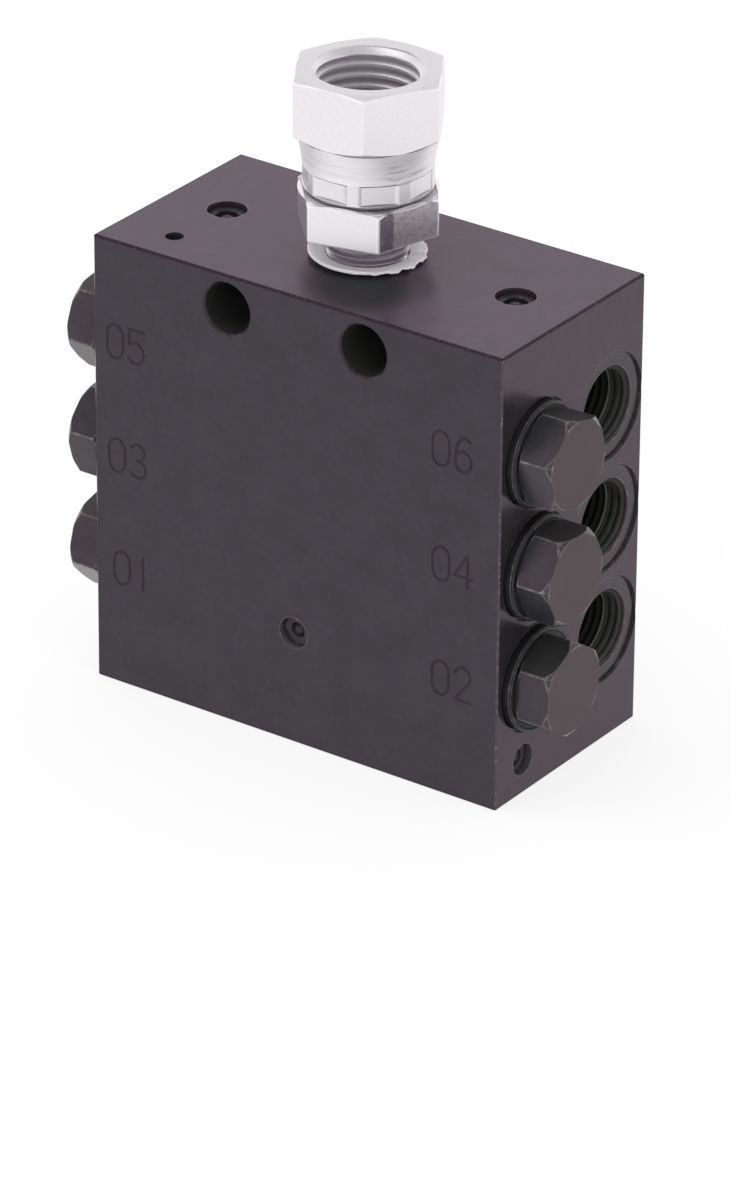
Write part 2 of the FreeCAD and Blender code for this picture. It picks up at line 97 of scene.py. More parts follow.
class Finish:
    """How a material or the world looks, built up from shader nodes."""

    # The sockets of a Mix node that mixes colours
    SHARE, FIRST_COLOUR, SECOND_COLOUR, MIXED_COLOUR = 0, 6, 7, 2

    def __init__(self, holder):
        self.holder = holder
        holder.use_nodes = True
        self.tree = holder.node_tree
        self.tree.nodes.clear()

    def node(self, kind, settings=None, inputs=None, output=0):
        """Add a node. Its settings come first, then the values or links of its sockets."""
        made = self.tree.nodes.new("ShaderNode" + kind)
        for word, value in (settings or {}).items():
            setattr(made, word, value)
        for socket, value in (inputs or {}).items():
            if isinstance(value, Link):
                self.tree.links.new(value.socket, made.inputs[socket])
            else:
                made.inputs[socket].default_value = value
        return Link(self, made.outputs[output] if made.outputs else None)

    def place(self, centre=(0, 0, 0), stretch=(1, 1, 1)):
        """The point in millimetres from a centre, squeezed so that patterns come out stretched."""
        point = self.node("TexCoord", output="Object")
        point = self.node("VectorMath", {"operation": "SUBTRACT"}, {0: point, 1: centre})
        return self.node("VectorMath", {"operation": "DIVIDE"}, {0: point, 1: [MM * s for s in stretch]})

    def parts(self, vector):
        """The three numbers of a vector."""
        first = self.node("SeparateXYZ", inputs={0: vector})
        return [Link(self, socket) for socket in first.socket.node.outputs]

    def noise(self, size, stretch=(1, 1, 1), detail=2.0):
        """Cloudy noise about 0.5, with lumps of a size in millimetres that are stretched along the axes."""
        point = self.place(stretch=[size * s for s in stretch])
        return self.node("TexNoise", inputs={"Vector": point, "Scale": 1.0, "Detail": detail})

    def off_axis(self, centre, along):
        """Distance in millimetres from the line through a centre along one of the axes."""
        point = self.place([MM * at for at in centre])
        across = [1 - share for share in along]
        flat = self.node("VectorMath", {"operation": "MULTIPLY"}, {0: point, 1: across})
        return self.node("VectorMath", {"operation": "LENGTH"}, {0: flat}, output="Value")

    def along(self, centre, direction):
        """Distance in millimetres from a centre in a direction."""
        return self.dot(self.place([MM * at for at in centre]), direction)

    def dot(self, first, second):
        """How far one vector reaches along another, which is one long."""
        return self.node("VectorMath", {"operation": "DOT_PRODUCT"}, {0: first, 1: second}, output="Value")

    def faces_up(self):
        """How far the surface faces up: one on a level face and nought on an upright one."""
        return self.parts(self.node("TexCoord", output="Normal"))[2]

    def rings(self, distance, size):
        """Noise that depends on a distance in millimetres alone, as turning marks do."""
        point = self.node("CombineXYZ", inputs={0: distance / size})
        return self.node("TexNoise", inputs={"Vector": point, "Scale": 1.0, "Detail": 2.0})

    def ramp(self, value, low, high):
        """Nought below low, one above high, and smooth between."""
        return self.node("MapRange", {"interpolation_type": "SMOOTHSTEP"},
                         {"Value": value, "From Min": low, "From Max": high})

    def near(self, distance, line, width):
        """One on a line of a width at a distance, and nought beside it."""
        return 1 - self.ramp((distance - line).size(), 0.4 * width, 0.6 * width)

    def within(self, value, low, high, blur):
        """One between two limits and nought outside them."""
        return self.ramp(value, low - blur, low) * (1 - self.ramp(value, high, high + blur))

    def tint(self, share, plain, other):
        """One colour going over to another."""
        return self.mixed("MIX", share, plain, other)

    def shaded(self, colour, shade):
        """A colour times a shade."""
        return self.mixed("MULTIPLY", 1.0, colour, shade)

    def mixed(self, blend, share, first, second):
        """Two colours through a Mix node with a blend type."""
        return self.node("Mix", {"data_type": "RGBA", "blend_type": blend},
                         {self.SHARE: share, self.FIRST_COLOUR: first, self.SECOND_COLOUR: second},
                         output=self.MIXED_COLOUR)

    def bump(self, height, depth):
        """Surface direction over a height from 0 to 1 that stands for a depth in millimetres."""
        return self.node("Bump", inputs={"Height": height, "Strength": 1.0, "Distance": depth * MM})

    def paint(self, **sockets):
        """Close the material with a surface whose sockets are named in words joined by low lines."""
        named = {word.replace("_", " "): value for word, value in sockets.items()}
        self.node("OutputMaterial", inputs={"Surface": self.node("BsdfPrincipled", inputs=named)})
        return self.holder

    def attribute(self, name):
        """A number that the mesh carries at its points."""
        return self.node("Attribute", {"attribute_name": name}, output="Fac")


def grey(level, warmth=0.0):
    """A near neutral colour. Warmth moves it towards brown."""
    return (level * (1 + warmth), level, level * (1 - warmth), 1.0)


OXIDE_IOR = 1.45
OXIDE_RELIEF = 0.01
RUBBED_STEEL = grey(0.35, 0.03)
VIOLET_GLOSS, BROWN_GLOSS = (1.0, 0.60, 0.94, 1.0), (1.0, 0.66, 0.84, 1.0)
DULL_GLOSS, SOOTY_GLOSS = (0.45, 0.42, 0.45, 1.0), (0.2, 0.2, 0.2, 1.0)


def blackened_steel(name, gloss, roughness, marks):
    """Hot black oxide: dark, with a tinted gloss, cloudy patches, fine grain and places rubbed bright.

    The marks give the tone, the share of rubbed surface, a relief in units of OXIDE_RELIEF
    millimetres and the share of surface made rougher, which on the block and plugs also holds painted shade.
    """
    finish = Finish(bpy.data.materials.new(name))
    clouds = finish.noise(5.0, detail=3.0)
    blotches = finish.noise(1.0, detail=3.0)
    grain = finish.noise(0.3, detail=4.0)
    tone, rubbed, relief, dulled_and_shaded = marks(finish)
    mottling = finish.tint(finish.ramp(0.6 * clouds + 0.4 * blotches, 0.3, 0.7), grey(0.8), grey(1.2))
    return finish.paint(
        Base_Color=finish.tint(rubbed, finish.shaded(tone, mottling), RUBBED_STEEL),
        Metallic=0.8 * rubbed,
        Roughness=roughness - 0.04 + 0.08 * clouds + 0.06 * grain + 0.35 * dulled_and_shaded,
        IOR=OXIDE_IOR,
        Specular_Tint=gloss,
        Normal=finish.bump(relief + 0.2 * grain, OXIDE_RELIEF),
    )


# The faces' tones paint light and shade on one oxide: lighter and violet on the top, neutral on the front,
# darker on the other faces.
FRONT_TONE, TOP_TONE = (0.029, 0.034, 0.034, 1.0), (0.050, 0.031, 0.046, 1.0)
SIDE_TONE, HOLE_TONE = (0.027, 0.025, 0.027, 1.0), (0.028, 0.030, 0.026, 1.0)
SEAT_TONE, SEAT_RIDGE = (0.018, 0.022, 0.017, 1.0), (0.048, 0.046, 0.048, 1.0)
EDGE_TONE, GROOVE_TONE = (0.008, 0.007, 0.008, 1.0), (0.014, 0.016, 0.016, 1.0)
# Painted light: a pale tone inside the recesses of the front and side passage plugs
PAINTED_LIGHT_RECESS_TONE = (0.10, 0.10, 0.105, 1.0)
# Depths under a face where its own tone fades out, where its rims do, and where its grooves lie
FACE_DEPTH, RIM_DEPTH, GROOVE_DEPTH = (0.2, 0.4), (0.05, 0.15), (0.04, 0.2)
# Painted shade: a darker patch on the top, in front of the inlet's fitting, where the fitting shades it
FITTING_SHADE_TONE, FITTING_SHADE_MIDDLE, FITTING_SHADE_REACH = (0.017, 0.022, 0.020, 1.0), (5.0, -8.8, 60.0), (3.5, 9.0)
SCREW_HOLES, SCREW_HOLE_WAY, SCREW_HOLE_RADIUS = ((-10.0, 0.0, 55.5), (10.0, 0.0, 55.5)), (0, 1, 0), 3.3
# Which way each passage plug's hole runs, and which plugs have light painted in their recess as a pale tone
PASSAGES = {"front": (0, 1, 0), "side": (1, 0, 0), "top_left": (0, 0, 1), "top_right": (0, 0, 1)}
PAINTED_LIGHT_RECESSES = ("front", "side")
# A passage plug's middle lies less far than this under its face
PASSAGE_DEPTH = 6.0
RIM_WIDTH, SEAT_RIM_WIDTH, MOUTH_RIM_WIDTH = 0.3, 0.12, 0.16
TURNING_PITCH = 0.35


def nearest_row(finish, line):
    """Distance from the nearest of the three rows' axes along a line."""
    lower, middle, upper = (finish.off_axis((0, line, height), (1, 0, 0)) for height in ROW_HEIGHTS.values())
    return lower.lowest(middle.lowest(upper))


def block_mouths(half_depth):
    """Middle, way, radius and reach of each screw hole and passage hole, and whether its inside is painted
    pale as light.
    """
    mouths = [(hole, SCREW_HOLE_WAY, SCREW_HOLE_RADIUS, half_depth, False) for hole in SCREW_HOLES]
    for place, way in PASSAGES.items():
        low, high = (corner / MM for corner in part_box(f"passage_sleeve_{place}"))
        radius = sum(width * (1 - share) for width, share in zip(high - low, way)) / 4
        mouths.append(((low + high) / 2, way, radius, PASSAGE_DEPTH, place in PAINTED_LIGHT_RECESSES))
    return mouths


def face_tones(finish, x, y, z):
    """Each outer face's tone, which paints light and shade face by face, with its scribed grooves, and the
    share of the painted shade in front of the inlet's fitting, at depths under the faces.
    """
    under_top = finish.ramp(z, *FACE_DEPTH)
    # Painted shade of the inlet's fitting, on the top only
    dulled_and_shaded = 1 - finish.ramp(finish.off_axis(FITTING_SHADE_MIDDLE, (0, 0, 1)), *FITTING_SHADE_REACH).highest(under_top)
    tone = finish.tint(under_top, finish.tint(dulled_and_shaded, TOP_TONE, FITTING_SHADE_TONE), SIDE_TONE)
    tone = finish.tint(finish.ramp(y, *FACE_DEPTH), FRONT_TONE, tone)
    scribed = finish.within(y, *GROOVE_DEPTH, 0.03) * finish.ramp(x.lowest(z), 0.3, 0.5)
    return finish.tint(scribed, tone, GROOVE_TONE), dulled_and_shaded


def block_marks(finish):
    """Tone of each face, rubbed edges and hole rims, and turning marks on the outlets' spot faces.

    Upright edges are rubbed, and level ones are painted dark as shade.
    """
    centre, half = (BLOCK_LOW + BLOCK_HIGH) / 2, (BLOCK_HIGH - BLOCK_LOW) / 2
    x, y, z = (half_width / MM - across.size()
               for across, half_width in zip(finish.parts(finish.place(centre)), half))
    tone, dulled_and_shaded = face_tones(finish, x, y, z)
    for hole in SCREW_HOLES:
        off_hole = finish.off_axis(hole, SCREW_HOLE_WAY)
        in_hole = 1 - finish.ramp(off_hole, SCREW_HOLE_RADIUS, SCREW_HOLE_RADIUS + 0.1)
        tone = finish.tint(in_hole, tone, HOLE_TONE)
        dulled_and_shaded = dulled_and_shaded.highest(in_hole)
    upright = 1 - finish.ramp(x + y, 1.0 * BLOCK_EDGE, 1.2 * BLOCK_EDGE)
    level = 1 - finish.ramp((y + z).lowest(x + z), 1.3 * BLOCK_EDGE, 2.0 * BLOCK_EDGE)
    # Painted shade on the level edges
    tone = finish.tint(level, tone, EDGE_TONE)
    dulled_and_shaded = dulled_and_shaded.highest(0.25 * (1 - finish.ramp(z, *FACE_DEPTH))).highest(0.8 * level)
    outlet, plug = (nearest_row(finish, line) for line in (OUTLET_LINE, PISTON_LINE))
    from_side = half.x / MM - x
    outside = finish.ramp(from_side, SEAT_LEVEL - 0.1, SEAT_LEVEL - 0.05)
    on_seat = outside * (1 - finish.ramp(from_side, SEAT_LEVEL + 0.05, SEAT_LEVEL + 0.1)) \
        * (1 - finish.ramp(outlet, SEAT_RADIUS - 0.05, SEAT_RADIUS))
    turning = finish.rings(outlet, TURNING_PITCH)
    tone = finish.tint(on_seat, tone, finish.tint(finish.ramp(turning, 0.5, 0.6), SEAT_TONE, SEAT_RIDGE))
    rims = finish.near(outlet, SEAT_RADIUS, SEAT_RIM_WIDTH) \
        .highest(finish.near(outlet, MOUTH_RADIUS, MOUTH_RIM_WIDTH)) \
        .highest(finish.near(plug, PLUG_SEAT_RADIUS, SEAT_RIM_WIDTH)) * outside
    for middle, way, radius, reach, pale in block_mouths(half.y / MM):
        at_face = 1 - finish.ramp((x, y, z)[way.index(1)], *RIM_DEPTH)
        this_end = 1 - finish.ramp(finish.along(middle, way).size(), reach, reach + 1)
        off_middle = finish.off_axis(middle, way)
        rims = rims.highest(at_face * this_end * finish.near(off_middle, radius, RIM_WIDTH))
        # Painted light on the recess wall inside the front and side passage plugs
        if pale:
            recess = this_end * (1 - at_face) * (1 - finish.ramp(off_middle, radius, radius + 0.1))
            tone = finish.tint(recess, tone, PAINTED_LIGHT_RECESS_TONE)
    patchy = finish.ramp(finish.noise(1.4, detail=3.0), 0.5, 0.75)
    specks = finish.ramp(finish.noise(0.6, detail=3.0), 0.56, 0.66)
    rubbed = (0.12 + 0.4 * patchy) * rims + (0.1 + 0.3 * specks) * upright + 0.06 * specks * level \
        + 0.25 * patchy * on_seat * finish.ramp(turning, 0.55, 0.65)
    streaks = finish.noise(0.25, stretch=(30, 1, 1), detail=2.0)
    return tone, rubbed, on_seat * turning * 2 + 0.7 * (1 - on_seat) * streaks, dulled_and_shaded


def node_points(node):
    """The points of a CAD node's mesh, in metres."""
    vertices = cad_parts[node].data.vertices
    points = np.empty(3 * len(vertices), np.float32)
    vertices.foreach_get("co", points)
    return points.reshape(-1, 3)


def merged_copy(node, name):
    """A CAD node's mesh with the corners that its triangles share joined, as a new object."""
    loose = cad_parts[node].data
    triangles = np.empty(3 * len(loose.polygons), np.int32)
    loose.polygons.foreach_get("vertices", triangles)
    points, joined = np.unique(node_points(node), axis=0, return_inverse=True)
    mesh = bpy.data.meshes.new(name)
    mesh.from_pydata(points, [], joined.reshape(-1)[triangles].reshape(-1, 3))
    return shown(name, mesh)


def shown(name, mesh):
    """A new object that holds a mesh."""
    piece = bpy.data.objects.new(name, mesh)
    bpy.context.scene.collection.objects.link(piece)
    return piece


def skin(rings, name, edge=None):
    """Closed mesh over rings of points, an array of (rings, points round, 3).

    Each cell between two rings is one face, the last point of a ring joins the first, and points
    that lie together, as at a pole, become one. `edge` gives each point's share of a rounded edge.
    """
    count, around = rings.shape[:2]
    first = (np.arange(count - 1)[:, None] * around + np.arange(around)).ravel()
    step = (np.arange(count - 1)[:, None] * around + (np.arange(around) + 1) % around).ravel()
    mesh = bpy.data.meshes.new(name)
    mesh.from_pydata(rings.reshape(-1, 3), [], np.stack([first, step, step + around, first + around], 1))
    share = mesh.attributes.new("edge", "FLOAT", "POINT")
    share.data.foreach_set("value", np.zeros(count * around) if edge is None else edge.ravel())
    return joined_up(mesh)


def joined_up(mesh, reach=1e-7):
    """Join the points of a mesh that lie together and turn its faces outwards."""
    shape = bmesh.new()
    shape.from_mesh(mesh)
    bmesh.ops.remove_doubles(shape, verts=shape.verts, dist=reach)
    bmesh.ops.dissolve_degenerate(shape, edges=shape.edges, dist=reach)
    bmesh.ops.recalc_face_normals(shape, faces=shape.faces)
    shape.to_mesh(mesh)
    shape.free()
    mesh.shade_smooth()
    return mesh


def tube(path, radius, name, around=24, cap=5):
    """Mesh of a round rod along a path of points, with half balls for ends.

    A point is path + radius * (cos turn * side + sin turn * front). The path lies in a plane of
    constant Y, so front is the Y axis and side is the path's direction turned a quarter in that plane.
    """
    ahead = np.gradient(path, axis=0)
    ahead /= np.linalg.norm(ahead, axis=1, keepdims=True)
    front = np.array([0.0, 1.0, 0.0])
    side = np.cross(ahead, front)
    dome = np.linspace(0, np.pi / 2, cap)[:, None]
    middle = np.concatenate([path[0] - radius * np.cos(dome) * ahead[0], path[1:-1],
                             path[-1] + radius * np.sin(dome) * ahead[-1]])
    width = np.concatenate([np.sin(dome), np.ones((len(path) - 2, 1)), np.cos(dome)])[:, :, None]
    side = np.concatenate([np.repeat(side[:1], cap, 0), side[1:-1], np.repeat(side[-1:], cap, 0)])
    turn = np.linspace(0, 2 * np.pi, around, endpoint=False)[:, None]
    round_it = np.cos(turn) * side[:, None] + np.sin(turn) * front
    return skin(middle[:, None] + radius * width * round_it, name)


def arc(centre, radii, start, end, count=17):
    """Points of an elliptical arc: the centre plus the radii times cosine and sine, in degrees."""
    angle = np.radians(np.linspace(start, end, count))
    return np.stack([centre[0] + radii[0] * np.cos(angle), centre[1] + radii[1] * np.sin(angle)], 1)


def line(start, end, count=5):
    """Points along a straight line."""
    return np.linspace(start, end, count)


# How the scriber draws each figure, in a box one wide and one high
FIGURES = {
    "0": [arc((0.5, 0.68), (0.5, 0.32), 0, 180), line((0, 0.68), (0, 0.32)),
          arc((0.5, 0.32), (0.5, 0.32), 180, 360), line((1, 0.32), (1, 0.68))],
    "1": [line((0.5, 0), (0.5, 1))],
    "2": [arc((0.5, 0.72), (0.48, 0.28), 165, -25), line((0.93, 0.6), (0.04, 0)), line((0.04, 0), (1, 0))],
    "3": [arc((0.48, 0.76), (0.44, 0.24), 150, -90), arc((0.48, 0.26), (0.5, 0.26), 90, -150)],
    "4": [line((0.78, 0), (0.78, 1)), line((0.78, 1), (0, 0.3)), line((0, 0.3), (1.05, 0.3))],
    "5": [line((1, 1), (0.1, 1)), line((0.1, 1), (0.05, 0.56)), arc((0.46, 0.32), (0.5, 0.32), 132, -150)],
    "6": [arc((0.5, 0.3), (0.48, 0.3), 0, 360, 33), arc((0.62, 0.36), (0.6, 0.64), 178, 62)],
}
# Each outlet's number, with the middle of its first figure across and up the front
NUMBERS = {
    "01": (-26.05, 16.0), "03": (-26.65, 31.3), "05": (-26.8, 46.6),
    "02": (21.7, 15.65), "04": (21.6, 30.9), "06": (21.4, 46.05),
}
FIGURE_WIDTH, FIGURE_HEIGHT, FIGURE_PITCH = 2.4, 4.5, 3.2
SCRIBED_RADIUS, SCRIBED_DEPTH = 0.2, 0.12


def scribed_lines():
    """One rod for every stroke of every number, laid half under the front face."""
    rods = []
    for number, (across, up) in NUMBERS.items():
        for place, figure in enumerate(number):
            left = across + place * FIGURE_PITCH - FIGURE_WIDTH / 2
            low = up - FIGURE_HEIGHT / 2
            for stroke in FIGURES[figure]:
                x = left + FIGURE_WIDTH * stroke[:, 0]
                z = low + FIGURE_HEIGHT * stroke[:, 1]
                y = np.full(len(stroke), BLOCK_LOW.y / MM + SCRIBED_DEPTH - SCRIBED_RADIUS)
                rods.append(tube(MM * np.stack([x, y, z], 1), MM * SCRIBED_RADIUS, "stroke"))
    return rods


def together(name, meshes):
    """One object that holds several meshes."""
    shape = bmesh.new()
    for mesh in meshes:
        shape.from_mesh(mesh)
        bpy.data.meshes.remove(mesh)
    whole = bpy.data.meshes.new(name)
    shape.to_mesh(whole)
    shape.free()
    return shown(name, whole)


def cut_away(piece, tools):
    """Take tools away from a piece, as a boolean difference that is then made its mesh."""
    cutter = together("cutter", tools)
    boolean = piece.modifiers.new("cut", "BOOLEAN")
    boolean.operation = "DIFFERENCE"
    boolean.solver = "EXACT"
    boolean.use_self = True
    boolean.object = cutter
    bpy.context.view_layer.update()
    evaluated = piece.evaluated_get(bpy.context.evaluated_depsgraph_get())
    cut_mesh = bpy.data.meshes.new_from_object(evaluated)
    piece.modifiers.clear()
    piece.data = cut_mesh
    bpy.data.objects.remove(cutter)
    return piece


def fitted(piece, material, body, slot, *nodes):
    """Give a new piece its material and its body, and hide the nodes that it stands for. The slot is not
    used.
    """
    piece.data.materials.clear()
    piece.data.materials.append(material)
    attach(piece, body)
    if nodes:
        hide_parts(*nodes)
    return piece


def finished(material, *nodes):
    """Give CAD nodes that stay as they are a better material."""
    for node in nodes:
        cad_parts[node].data.materials.clear()
        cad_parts[node].data.materials.append(material)


MANIFOLD = "manifold"
BLOCK_BLACK = blackened_steel("black_oxide_block", VIOLET_GLOSS, 0.18, block_marks)
block = cut_away(merged_copy("valve_block", "numbered_block"), scribed_lines())
block.data.shade_smooth()
block.data.set_sharp_from_angle(angle=FLAT_SHADING_ANGLE)
fitted(block, BLOCK_BLACK, MANIFOLD, "block_black", "valve_block")

# Outlet threads
# M10 by 1, cut from the spot face inwards. They are part of the block's steel, but dull, painted
# darker deep inside as shade and lighter in the roots as light, with a painted highlight on one crest turn.
OUTLET_THREAD = {"wall": 4.985, "crest": 4.55, "low": 21.0, "high": 29.5, "pitch": 1.0, "back": 4.996}
# The roots are painted lighter as light, and the deep inside darker as shade
THREAD_TONE, ROOT_TONE = (0.038, 0.041, 0.036, 1.0), (0.105, 0.112, 0.100, 1.0)
MOUTH_TONE, DEEP_TONE = (0.064, 0.058, 0.060, 1.0), (0.022, 0.024, 0.021, 1.0)
# Distances from the block's middle: where the painted shade deep inside gives way, the painted highlight's
# turn and the countersink
LIT_FROM, HIGHLIGHT_CREST, COUNTERSINK = (26.2, 27.4), 26.6, (28.9, 29.1)
# Distances from the outlet's axis: the crest's blur, and from crest to root
CREST_BLUR, CREST_TO_ROOT = (4.58, 4.61), (4.6, 4.95)
SIDES = {"left": -1, "right": 1}
OUTLETS = [(side, row) for row in ROW_HEIGHTS for side in SIDES]
THREAD_SAMPLES = 12
THREAD_TURN = 96


def axis_frame(axis, centre):
    """An axis as three unit vectors, the last one along it, and its own zero point in millimetres."""
    along = np.array(axis, float)
    across = np.array([0.0, 1.0, 0.0]) if abs(along[1]) < 0.5 else np.array([1.0, 0.0, 0.0])
    return np.cross(across, along), across, along, np.array(centre, float)


def about(axis, radius, angle, height):
    """Points round an axis, in metres: centre + radius * (cos * first + sin * second) + height * along."""
    first, second, along, centre = axis
    flat = np.cos(angle)[..., None] * first + np.sin(angle)[..., None] * second
    return MM * (centre + radius[..., None] * flat + height[..., None] * along)


def thread(axis, name, wall, crest, low, high, pitch, back, taper=0.0):
    """Mesh of a screw thread, as a thin sleeve about an axis, closed by a plain back.

    The height of a point is low + pitch * (turns + angle / 360 degrees), held between low and high,
    so that each ring follows the helix. Its radius goes from the wall to the crest and back once in
    each turn, with an eighth of the pitch flat at the wall and a quarter flat at the crest. Towards
    both ends the ridge is no higher than the distance to the end, as a countersink leaves it. The
    taper widens everything with height.
    """
    angle = np.linspace(0, 2 * np.pi, THREAD_TURN + 1)
    turns = np.arange(-1, (high - low) / pitch + 1 + 1 / THREAD_SAMPLES, 1 / THREAD_SAMPLES)
    height = np.clip(low + pitch * (turns[:, None] + angle / (2 * np.pi)), low, high)
    phase = ((height - low) / pitch - angle / (2 * np.pi)) % 1
    ridge = abs(crest - wall) * np.interp(phase, [0, 0.125, 0.4375, 0.6875, 1], [0, 0, 1, 1, 0])
    radius = wall + np.sign(crest - wall) * np.minimum(ridge, np.minimum(high - height, height - low))
    ends = np.array([high, low])[:, None] * np.ones_like(angle)
    radius = np.concatenate([radius, back * np.ones_like(ends), radius[:1]])
    height = np.concatenate([height, ends, height[:1]])
    points = about(axis, radius + taper / 2 * height, angle * np.ones_like(radius), height)
    count, around = points.shape[:2]
    first = (np.arange(count - 1)[:, None] * around + np.arange(around - 1)).ravel()
    mesh = bpy.data.meshes.new(name)
    faces = np.stack([first, first + 1, first + 1 + around, first + around], 1)
    mesh.from_pydata(points.reshape(-1, 3), [], faces)
    mesh.attributes.new("edge", "FLOAT", "POINT")
    joined_up(mesh, reach=2e-6)
    mesh.set_sharp_from_angle(angle=FLAT_SHADING_ANGLE)
    return mesh


def thread_marks(finish):
    """A dull thread with painted shade darkest deep inside, painted light in its roots, a lighter
    countersink and a painted highlight on one turn's crest, as a rubbed band.
    """
    along = finish.parts(finish.place())[0].size()
    off_outlet = nearest_row(finish, OUTLET_LINE)
    crest = 1 - finish.ramp(off_outlet, *CREST_BLUR)
    patchy = finish.ramp(finish.noise(1.5), 0.35, 0.6)
    # Painted light in the roots and painted shade deep inside
    tone = finish.tint(finish.ramp(off_outlet, *CREST_TO_ROOT), THREAD_TONE, ROOT_TONE)
    tone = finish.tint(finish.ramp(along, *LIT_FROM), DEEP_TONE, tone)
    tone = finish.tint(finish.ramp(along, *COUNTERSINK), tone, MOUTH_TONE)
    # Painted highlight on one turn's crest, given as a rubbed band
    return tone, (0.3 + 0.6 * patchy) * crest * finish.near(along, HIGHLIGHT_CREST, 0.9), 0.0, 0.0


THREAD_BLACK = blackened_steel("dull_outlet_thread_painted_shade", SOOTY_GLOSS, 0.8, thread_marks)
for number, (side, row) in enumerate(OUTLETS, start=1):
    outlet = axis_frame((SIDES[side], 0, 0), (0, OUTLET_LINE, ROW_HEIGHTS[row]))
    piece = shown(f"outlet_thread_{number}", thread(outlet, "thread", **OUTLET_THREAD))
    fitted(piece, THREAD_BLACK, MANIFOLD, "block_black")

# Pistons
# Three metering spools of hardened steel, turned and then ground to slide in their bores with
# hardly any clearance. They keep the solids' shape and get the fine rings of the grinding wheel.


def ground_steel(name):
    """Bare steel with fine rings round the X axis, along which the noise isn't stretched."""
    finish = Finish(bpy.data.materials.new(name))
    rings = finish.noise(0.12, stretch=(1, 60, 60), detail=3.0)
    return finish.paint(
        Base_Color=finish.tint(rings, grey(0.425, 0.02), grey(0.55)),
        Metallic=1.0,
        Roughness=0.16 + 0.12 * rings,
        Normal=finish.bump(rings, 0.004),
    )


finished(ground_steel("ground_piston_steel"), *(f"piston_{row}" for row in ROW_HEIGHTS))

# Sealing rings
# One steel washer under each end plug's head, blackened like the plug. A shallow turned groove
# runs round its face, and handling has rubbed its outer rim bright in places.
SEAL_HOLE, SEAL_GROOVE, SEAL_RIM = 5.15, 6.1, 6.65
SEAL_LOW, SEAL_HIGH = -0.5, 1.1
SEAL_EDGE, SEAL_GROOVE_SIZE = 0.25, 0.08
SEAL_TONE = (0.016, 0.015, 0.017, 1.0)
ROUND_STEPS = 4
SOFT_BEND = np.radians(15)
PLAIN_TURN = np.linspace(0, 2 * np.pi, 128, endpoint=False)


def softened(profile, size):
    """Round the inner points of a profile, an array (points, around, 2) of radius and height.

    A corner P gives way to the curve (1 - t)^2 A + 2 t (1 - t) P + t^2 B, whose ends A and B lie on
    the two sides, as far from P as the size says or a quarter of the shorter side. A flat row stands
    beyond each end. Returns the rows, with their share of a rounded edge, which grows with the turn
    that the profile takes there, and how often each point's row now comes.
    """
    ways = [profile[:-2] - profile[1:-1], profile[2:] - profile[1:-1]]
    lengths = [np.maximum(np.linalg.norm(way, axis=2, keepdims=True), 1e-9) for way in ways]
    cut = np.minimum(size, 0.25 * np.minimum(*lengths))
    to_before, to_after = (way / length for way, length in zip(ways, lengths))
    share = np.linspace(0, 1, ROUND_STEPS)[:, None, None, None]
    curve = (1 - share) ** 2 * cut * to_before + share ** 2 * cut * to_after
    rows = np.concatenate([1.8 * cut[None] * to_before, curve, 1.8 * cut[None] * to_after])
    rows = np.moveaxis(profile[1:-1] + rows, 0, 1).reshape(-1, *profile.shape[1:])
    often = [1] + [ROUND_STEPS + 2] * (len(profile) - 2) + [1]
    bend = np.pi - np.arccos(np.clip((to_before * to_after).sum(axis=2), -1, 1))
    sharp = np.clip((bend - SOFT_BEND) / SOFT_BEND, 0, 1)
    on_edge = np.array([0] + [1] * ROUND_STEPS + [0])[:, None]
    edge = (sharp[:, None] * on_edge).reshape(-1, profile.shape[1])
    flat = np.zeros_like(edge[:1])
    return np.concatenate([profile[:1], rows, profile[-1:]]), np.concatenate([flat, edge, flat]), often


def turned(axis, name, steps, angle=PLAIN_TURN, size=0.1, corner=None):
    """Closed surface of a profile carried round an axis, with its edges rounded.

    Each step is a radius and a height, which may differ from angle to angle. Rows on a hexagon, whose
    radius differs by more than half a millimetre, also get the angle's share of a rounded corner.
    """
    profile = np.stack([np.stack(np.broadcast_arrays(r, h, angle)[:2], 1) for r, h in steps])
    rows, edge, often = softened(profile, size)
    if corner is not None:
        on_hexagon = np.repeat(np.ptp(profile[..., 0], axis=1) > 0.5, often)
        edge = np.maximum(edge, on_hexagon[:, None] * corner)
    points = about(axis, rows[..., 0], angle * np.ones_like(edge), rows[..., 1])
    return skin(points, name, edge)


def beside(side, row):
    """The frame of a piston line at a side face. Its zero point is on the face, and it points outwards."""
    sign = SIDES[side]
    return axis_frame((sign, 0, 0), (BLOCK_HIGH.x / MM * sign, PISTON_LINE, ROW_HEIGHTS[row]))


def worn(finish):
    """The rounded edges of a turned piece, rubbed in places."""
    places = finish.ramp(finish.noise(0.7, detail=3.0), 0.45, 0.75)
    return finish.attribute("edge") * (0.2 + 0.5 * places)


def seal_marks(finish):
    """An outer rim rubbed in places, on a dull ring."""
    rim = finish.ramp(nearest_row(finish, PISTON_LINE), SEAL_RIM - 0.35, SEAL_RIM - 0.25)
    return SEAL_TONE, 0.7 * worn(finish) * rim, finish.noise(0.8, detail=3.0), 0.0


